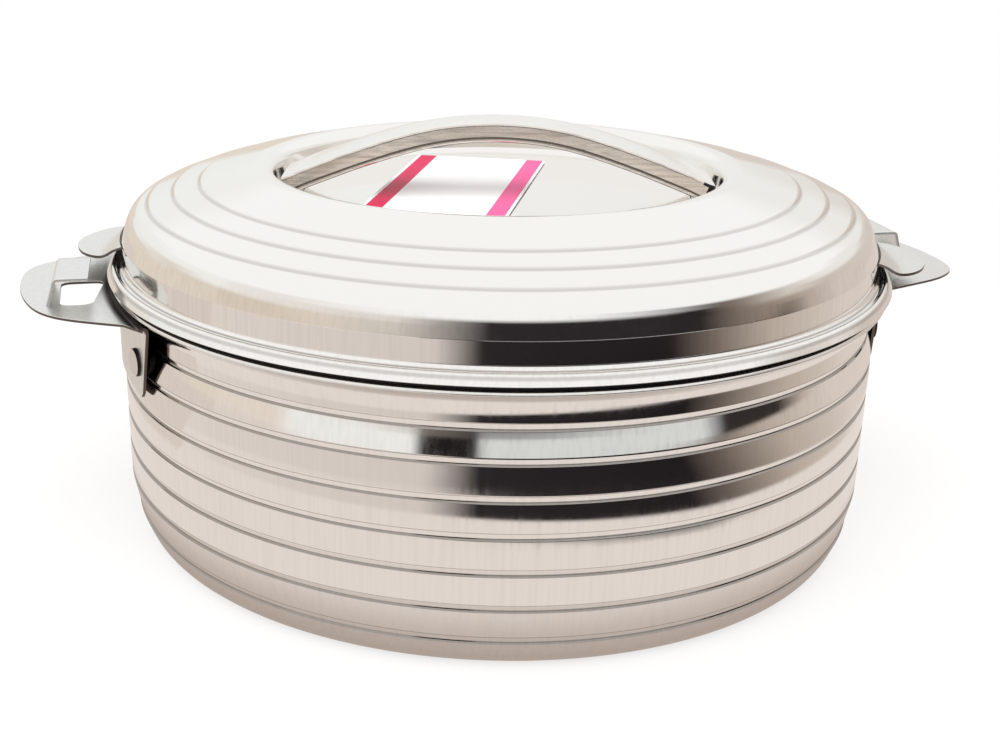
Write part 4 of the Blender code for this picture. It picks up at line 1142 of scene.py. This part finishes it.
def rivet_tree(material):
    """Geometry tree that sets one rivet with a flattened round head at each place of a ring."""
    tree = bpy.data.node_groups.new("domed_rivets", "GeometryNodeTree")
    tree.interface.new_socket("Places", in_out="INPUT", socket_type="NodeSocketGeometry")
    for label in ("Head Radius", "Head Height", "Rounding"):
        tree.interface.new_socket(label, in_out="INPUT", socket_type="NodeSocketFloat")
    tree.interface.new_socket("Rivets", in_out="OUTPUT", socket_type="NodeSocketGeometry")
    given = add_node(tree, "NodeGroupInput").outputs
    ball = add_node(
        tree, "GeometryNodeMeshUVSphere", {"Segments": RIVET_FACETS, "Rings": RIVET_FACETS},
        {"Radius": given["Head Radius"]},
    )
    place = add_node(tree, "GeometryNodeInputPosition")
    parts = add_node(tree, "ShaderNodeSeparateXYZ", None, {"Vector": place}).outputs
    held = add_node(
        tree, "ShaderNodeMath", {"operation": "SMOOTH_MIN"},
        {0: parts["Z"], 1: given["Head Height"], 2: given["Rounding"]},
    )
    lowered = add_node(
        tree, "ShaderNodeCombineXYZ", None, {"X": parts["X"], "Y": parts["Y"], "Z": held}
    )
    dome = add_node(
        tree, "GeometryNodeSetPosition", None, {"Geometry": ball, "Position": lowered}
    )
    outward = add_node(
        tree, "ShaderNodeVectorMath", {"operation": "MULTIPLY", 1: (1.0, 1.0, 0.0)}, {0: place}
    )
    facing = add_node(
        tree, "FunctionNodeAlignRotationToVector", {"axis": "Z"}, {"Vector": outward}
    )
    spread = add_node(
        tree, "GeometryNodeInstanceOnPoints", None,
        {"Points": given["Places"], "Instance": dome, "Rotation": facing},
    )
    real = add_node(tree, "GeometryNodeRealizeInstances", None, {"Geometry": spread})
    coated = add_node(
        tree, "GeometryNodeSetMaterial", {"Material": material}, {"Geometry": real}
    )
    add_node(tree, "NodeGroupOutput", None, {"Rivets": coated})
    return tree


def rivet_heads(material, shaded_side_material):
    """The four rivets of the side handles, each lying on the skirt's face. The faces of the heads
    keep the buffed finish, and their sides are painted dark as shade."""
    bm = bmesh.new()
    for angle in (-RIVET_ANGLE, RIVET_ANGLE, math.pi - RIVET_ANGLE, math.pi + RIVET_ANGLE):
        side = "right" if math.cos(angle) > 0 else "left"
        face = skirt_face(side, RIVET_ANGLE / SKIRT_HALF_ANGLE)
        bm.verts.new((face * math.cos(angle), face * math.sin(angle), HANDLE_TOP - RIVET_DROP))
    places = mesh_object(bm, "rivet_heads", [])
    tree = rivet_tree(material)
    change = places.modifiers.new("rivets", "NODES")
    change.node_group = tree
    wanted = {
        "Head Radius": RIVET_HEAD_RADIUS, "Head Height": RIVET_HEAD_HEIGHT,
        "Rounding": RIVET_ROUNDING,
    }
    for socket in tree.interface.items_tree:
        if socket.in_out == "INPUT" and socket.name in wanted:
            change[socket.identifier] = wanted[socket.name]
    piece = baked(places)
    piece.data.materials.clear()
    for finish in (material, shaded_side_material):
        piece.data.materials.append(finish)
    for face in piece.data.polygons:
        outward = Vector((face.center.x, face.center.y, 0.0)).normalized()
        face.material_index = 1 if face.normal.dot(outward) < RIVET_SIDE_SLOPE else 0
    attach(piece, "base")
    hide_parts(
        "rivet_left_front", "rivet_left_rear", "rivet_right_front", "rivet_right_rear"
    )


def card(material):
    """The card that lies in the recess, with its corners rounded."""
    outline = rounded_polygon([
        (CARD_FORWARD + x * CARD_LENGTH / 2, CARD_LEFT + y * CARD_WIDTH / 2) for x, y in SQUARE
    ], CARD_CORNER)
    bm = bmesh.new()
    turn = Matrix.Rotation(CARD_TURN, 3, "Z")
    low = RECESS_FLOOR + CARD_GAP
    base, top = (
        [bm.verts.new(turn @ Vector((x, y, height))) for x, y in outline]
        for height in (low, low + CARD_THICKNESS)
    )
    bm.faces.new(base)
    bm.faces.new(top)
    ring_faces(bm, base, top)
    piece = finish_mesh(bm, "striped_card", [material], LID_TURN)
    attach(piece, "lid")
    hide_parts("recess_card")


def dress_inner_nodes(finishes):
    """Gives each CAD node that stays as it is the finish of its own slot."""
    slots = {entry["node"]: entry["material_slot"] for entry in frame["record"]["subparts"]}
    for name, node in frame["nodes"].items():
        node.data.materials.clear()
        node.data.materials.append(finishes[slots[name]])


def seen_directly(tree):
    """1 for what the camera, a gloss or a glass sees, and 0 for the light that falls on matt
    faces."""
    path = add_node(tree, "ShaderNodeLightPath")
    rays = ("Is Camera Ray", "Is Glossy Ray", "Is Transmission Ray")
    return strongest(tree, [path.outputs[ray] for ray in rays])


def world_light():
    """Even white light from all round, and plain white behind the object."""
    world = bpy.data.worlds.new("studio")
    bpy.context.scene.world = world
    world.use_nodes = True
    tree = world.node_tree
    tree.nodes.clear()
    room, white = (
        add_node(
            tree, "ShaderNodeBackground", {"Color": linear("#FFFFFF"), "Strength": strength}
        )
        for strength in (ROOM_LIGHT, 1.0)
    )
    mixed = add_node(
        tree, "ShaderNodeMixShader", None, {0: seen_directly(tree), 1: room, 2: white}
    )
    add_node(tree, "ShaderNodeOutputWorld", None, {"Surface": mixed})


def staged(bm, name, material, in_steel_only):
    """Adds a part of the surroundings; some of them show only in the steel."""
    made = mesh_object(bm, name, [material])
    if in_steel_only:
        made.visible_camera = False
        made.visible_diffuse = False
        made.visible_shadow = False
        made.visible_transmission = False


def pale_floor():
    """Matt floor that keeps the pan's shadow and lies close to white for the camera."""
    made, tree, where = new_material("pale_floor")
    matt = add_node(tree, "ShaderNodeBsdfDiffuse", {"Color": linear("#F4F2F0")})
    white = add_node(tree, "ShaderNodeEmission", {"Color": linear("#FFFFFF"), "Strength": 1.0})
    away = add_node(tree, "ShaderNodeVectorMath", {"operation": "LENGTH"}, {0: where})
    whiter = add_node(
        tree, "ShaderNodeMapRange",
        {
            "From Min": FLOOR_FADE[0], "From Max": FLOOR_FADE[1],
            "To Min": FLOOR_WHITE, "To Max": 1.0,
        },
        {"Value": away.outputs["Value"]},
    )
    share = add_node(
        tree, "ShaderNodeMath", {"operation": "MULTIPLY"}, {0: seen_directly(tree), 1: whiter}
    )
    mixed = add_node(tree, "ShaderNodeMixShader", None, {0: share, 1: matt, 2: white})
    add_node(tree, "ShaderNodeOutputMaterial", None, {"Surface": mixed})
    bm = bmesh.new()
    bm.faces.new([bm.verts.new((x * FLOOR_REACH, y * FLOOR_REACH, 0.0)) for x, y in SQUARE])
    staged(bm, "floor", made, False)


def azimuth_share(degrees):
    """Where an azimuth lies along the room's radial gradient, from 0 to 1."""
    return (degrees / 360 + 0.5) % 1


def azimuth_ramp(tree, azimuth, stops):
    """Colours round the room: stops of (azimuth in degrees, colour)."""
    ramp = add_node(tree, "ShaderNodeValToRGB", None, {"Fac": azimuth})
    fill_ramp(ramp, sorted((azimuth_share(degrees), colour) for degrees, colour in stops))
    return ramp


def self_lit_material(name, paint):
    """A material for what stands round the pan: it shows its colour whatever light falls on it.
    Paint gives the colour from the place of a spot and its azimuth."""
    made, tree, where = new_material(name)
    azimuth = add_node(
        tree, "ShaderNodeTexGradient", {"gradient_type": "RADIAL"}, {"Vector": where}
    ).outputs["Fac"]
    light = add_node(
        tree, "ShaderNodeEmission", {"Strength": 1.0}, {"Color": paint(tree, where, azimuth)}
    )
    add_node(tree, "ShaderNodeOutputMaterial", None, {"Surface": light})
    return made


def room_colours(tree, where, azimuth):
    """Layers of colour from the table's height up, each blended into the one below it."""
    height = add_node(tree, "ShaderNodeSeparateXYZ", None, {"Vector": where}).outputs["Z"]
    colour = azimuth_ramp(tree, azimuth, TABLE_FRONT)
    for start, end, stops in ROOM_LAYERS:
        share = add_node(
            tree, "ShaderNodeMapRange", {"From Min": start, "From Max": end}, {"Value": height}
        )
        colour = add_node(
            tree, "ShaderNodeMix", {"data_type": "RGBA"},
            {"Factor": share, 6: colour, 7: azimuth_ramp(tree, azimuth, stops)},
        ).outputs[2]
    return colour


def room_wall():
    """What stands round the table and shows only in the steel: pale walls, and a dark side where
    the picture was taken from."""
    bm = bmesh.new()
    low, high = (ring_of_points(bm, ROOM_REACH, z, ROOM_SIDES) for z in (0.0, ROOM_HEIGHT))
    ring_faces(bm, low, high)
    staged(bm, "room_wall", self_lit_material("room_wall", room_colours), True)


def table_colours(tree, where, azimuth):
    """Warm and darker near the pan, a painted contact shadow that the steel mirrors, and dark past
    the front edge.
    """
    flat = add_node(
        tree, "ShaderNodeVectorMath", {"operation": "LENGTH"}, {0: where}
    ).outputs["Value"]
    (first, reach), (last, last_reach) = TABLE_EDGE
    edge = add_node(
        tree, "ShaderNodeMapRange",
        {
            "From Min": azimuth_share(first), "From Max": azimuth_share(last),
            "To Min": reach, "To Max": last_reach,
        },
        {"Value": azimuth},
    )
    past = add_node(tree, "ShaderNodeMath", {"operation": "SUBTRACT"}, {0: flat, 1: edge})
    beyond, outward = (
        add_node(
            tree, "ShaderNodeMapRange", {"From Min": start, "From Max": end}, {"Value": value}
        )
        for (start, end), value in ((TABLE_EDGE_BLUR, past), (TABLE_CONTACT_SHADE, flat))
    )
    near = add_node(
        tree, "ShaderNodeMix",
        {"data_type": "RGBA", 6: linear("#B5A79E"), 7: linear("#E8DFD9")}, {"Factor": outward},
    )
    return add_node(
        tree, "ShaderNodeMix", {"data_type": "RGBA"},
        {"Factor": beyond, 6: near.outputs[2], 7: azimuth_ramp(tree, azimuth, TABLE_FRONT)},
    ).outputs[2]


def table_top():
    """The table as the steel shows it."""
    bm = bmesh.new()
    bmesh.ops.create_circle(bm, cap_ends=True, radius=ROOM_REACH, segments=ROOM_SIDES)
    bmesh.ops.translate(bm, verts=bm.verts, vec=(0.0, 0.0, TABLE_LIFT))
    staged(bm, "table_top", self_lit_material("table_top", table_colours), True)


def lamp(name, place, target, size, power):
    light = bpy.data.lights.new(name, "AREA")
    light.shape = "DISK"
    light.size = size
    light.energy = power
    made = add_object(name, light)
    made.location = place
    made.rotation_euler = (Vector(target) - Vector(place)).to_track_quat("-Z", "Y").to_euler()
    made.visible_glossy = False


def photo_camera():
    camera = bpy.data.cameras.new("photo_camera")
    camera.lens = CAMERA_LENS
    camera.sensor_width = CAMERA_SENSOR
    camera.sensor_fit = "HORIZONTAL"
    camera.shift_x = CAMERA_SHIFT
    camera.clip_start = 0.01
    made = add_object("photo_camera", camera)
    place = Vector((
        CAMERA_REACH * math.cos(CAMERA_AZIMUTH), CAMERA_REACH * math.sin(CAMERA_AZIMUTH),
        CAMERA_HEIGHT,
    ))
    aim = Vector((
        math.cos(AIM_DROP) * math.cos(AIM_AZIMUTH),
        math.cos(AIM_DROP) * math.sin(AIM_AZIMUTH),
        -math.sin(AIM_DROP),
    ))
    facing = aim.to_track_quat("-Z", "Y").to_matrix().to_4x4()
    made.matrix_world = Matrix.Translation(place) @ facing @ Matrix.Rotation(CAMERA_ROLL, 4, "Z")
    bpy.context.scene.camera = made


def build():
    # Spun sheet, wheel-buffed to a near mirror, with rings of painted shade at its steps and folds;
    # the lid's top shows no lines from the buff
    steel = polished_stainless(
        "stainless_buffed", "#F5F3F0", 0.08, clear_above=SEAM + CLEAR_HEIGHT, shade_marks=step_shade_lines
    )
    # The same sheet on the rolled wall, with painted shade lines in its creases
    wall_steel = polished_stainless(
        "stainless_buffed_wall", "#F5F3F0", 0.07, shade=0.07, shade_marks=crease_shade_lines
    )
    # Strap pressed from sheet: its crown is hand-buffed and soft, its sides keep the belt's lines.
    # The crown is painted a little lighter and the sides browner and darker, as light and shade
    strap_top = polished_stainless(
        "stainless_strap_crown", "#F7F5F2", 0.16, grain=ALONG_STRAP, shade=0.12
    )
    shaded_strap_side = polished_stainless(
        "stainless_strap_side_shaded", "#EBE1D7", 0.24, streak=0.1, grain=ALONG_STRAP, shade=0.5
    )
    # Stamped sheet, tumbled only: a soft satin that blurs what it mirrors
    satin = polished_stainless("stainless_satin", "#EAEBE9", 0.30, streak=0.08)
    # The same satin on the plates, painted near black as shade where they run in under the bead
    plate_satin_root_shaded = polished_stainless(
        "stainless_satin_plate_root_shaded", "#EAEBE9", 0.30, streak=0.08, shade_marks=root_shade,
        shade_colour="#191615",
    )
    # Edges that the stamping sheared and backs that no buff reached: rough and darker. The same two
    # finishes paint shade: dark lines along the strap's rolled edge, and dark backs under the ears
    # and skirts, inside the strap's hollow ends, at its right end and on the rivets' sides
    sheared = plain_finish("stainless_sheared_edge_and_shade_line", "#6E645D", 0.45, metallic=1.0)
    unbuffed = plain_finish("stainless_unbuffed_back_and_shade", "#3A3533", 0.5, metallic=1.0)
    # Deep-drawn bowl and pan, and cold-headed fasteners: bright, a little greyer
    bowl_steel = polished_stainless("stainless_drawn_bowl", "#EBE9E6", 0.10)
    fastener = polished_stainless("steel_cold_headed", "#E0DDDA", 0.12)
    # Poured foam, moulded rubber and moulded plastic: matt, with a fine grain
    foam = plain_finish("polyurethane_foam", "#DDB978", 0.95, grain=1.11 * MM, depth=0.5)
    rubber = plain_finish("rubber_moulded", "#0B0B0B", 0.7)
    plastic = plain_finish("polypropylene_moulded", "#1A1A1C", 0.5)
    paper = striped_card()
    dress_inner_nodes({
        "polished_steel": steel,
        "bowl_steel": bowl_steel,
        "fastener_steel": fastener,
        "foam": foam,
        "seal_rubber": rubber,
        "plug_plastic": plastic,
        "card_paper": paper,
    })
    shell_wall(wall_steel)
    bowl_and_rim(bowl_steel)
    seal_ring(rubber)
    lid_dome(steel)
    lid_inner_pan(bowl_steel)
    arch_strap((strap_top, shaded_strap_side, sheared, unbuffed))
    ear_wing("ear_wing_right", "ear_right", 0.0, (satin, sheared, unbuffed))
    ear_wing("ear_wing_left", "ear_left", math.pi, (satin, sheared, unbuffed))
    side_handle("right", 0.0, (plate_satin_root_shaded, sheared, unbuffed))
    side_handle("left", math.pi, (plate_satin_root_shaded, sheared, unbuffed))
    rivet_heads(fastener, unbuffed)
    card(paper)


def stage():
    world_light()
    pale_floor()
    table_top()
    room_wall()
    for entry in LAMPS:
        lamp(*entry)
    photo_camera()
    bpy.context.scene.view_settings.view_transform = "Standard"


build()
stage()
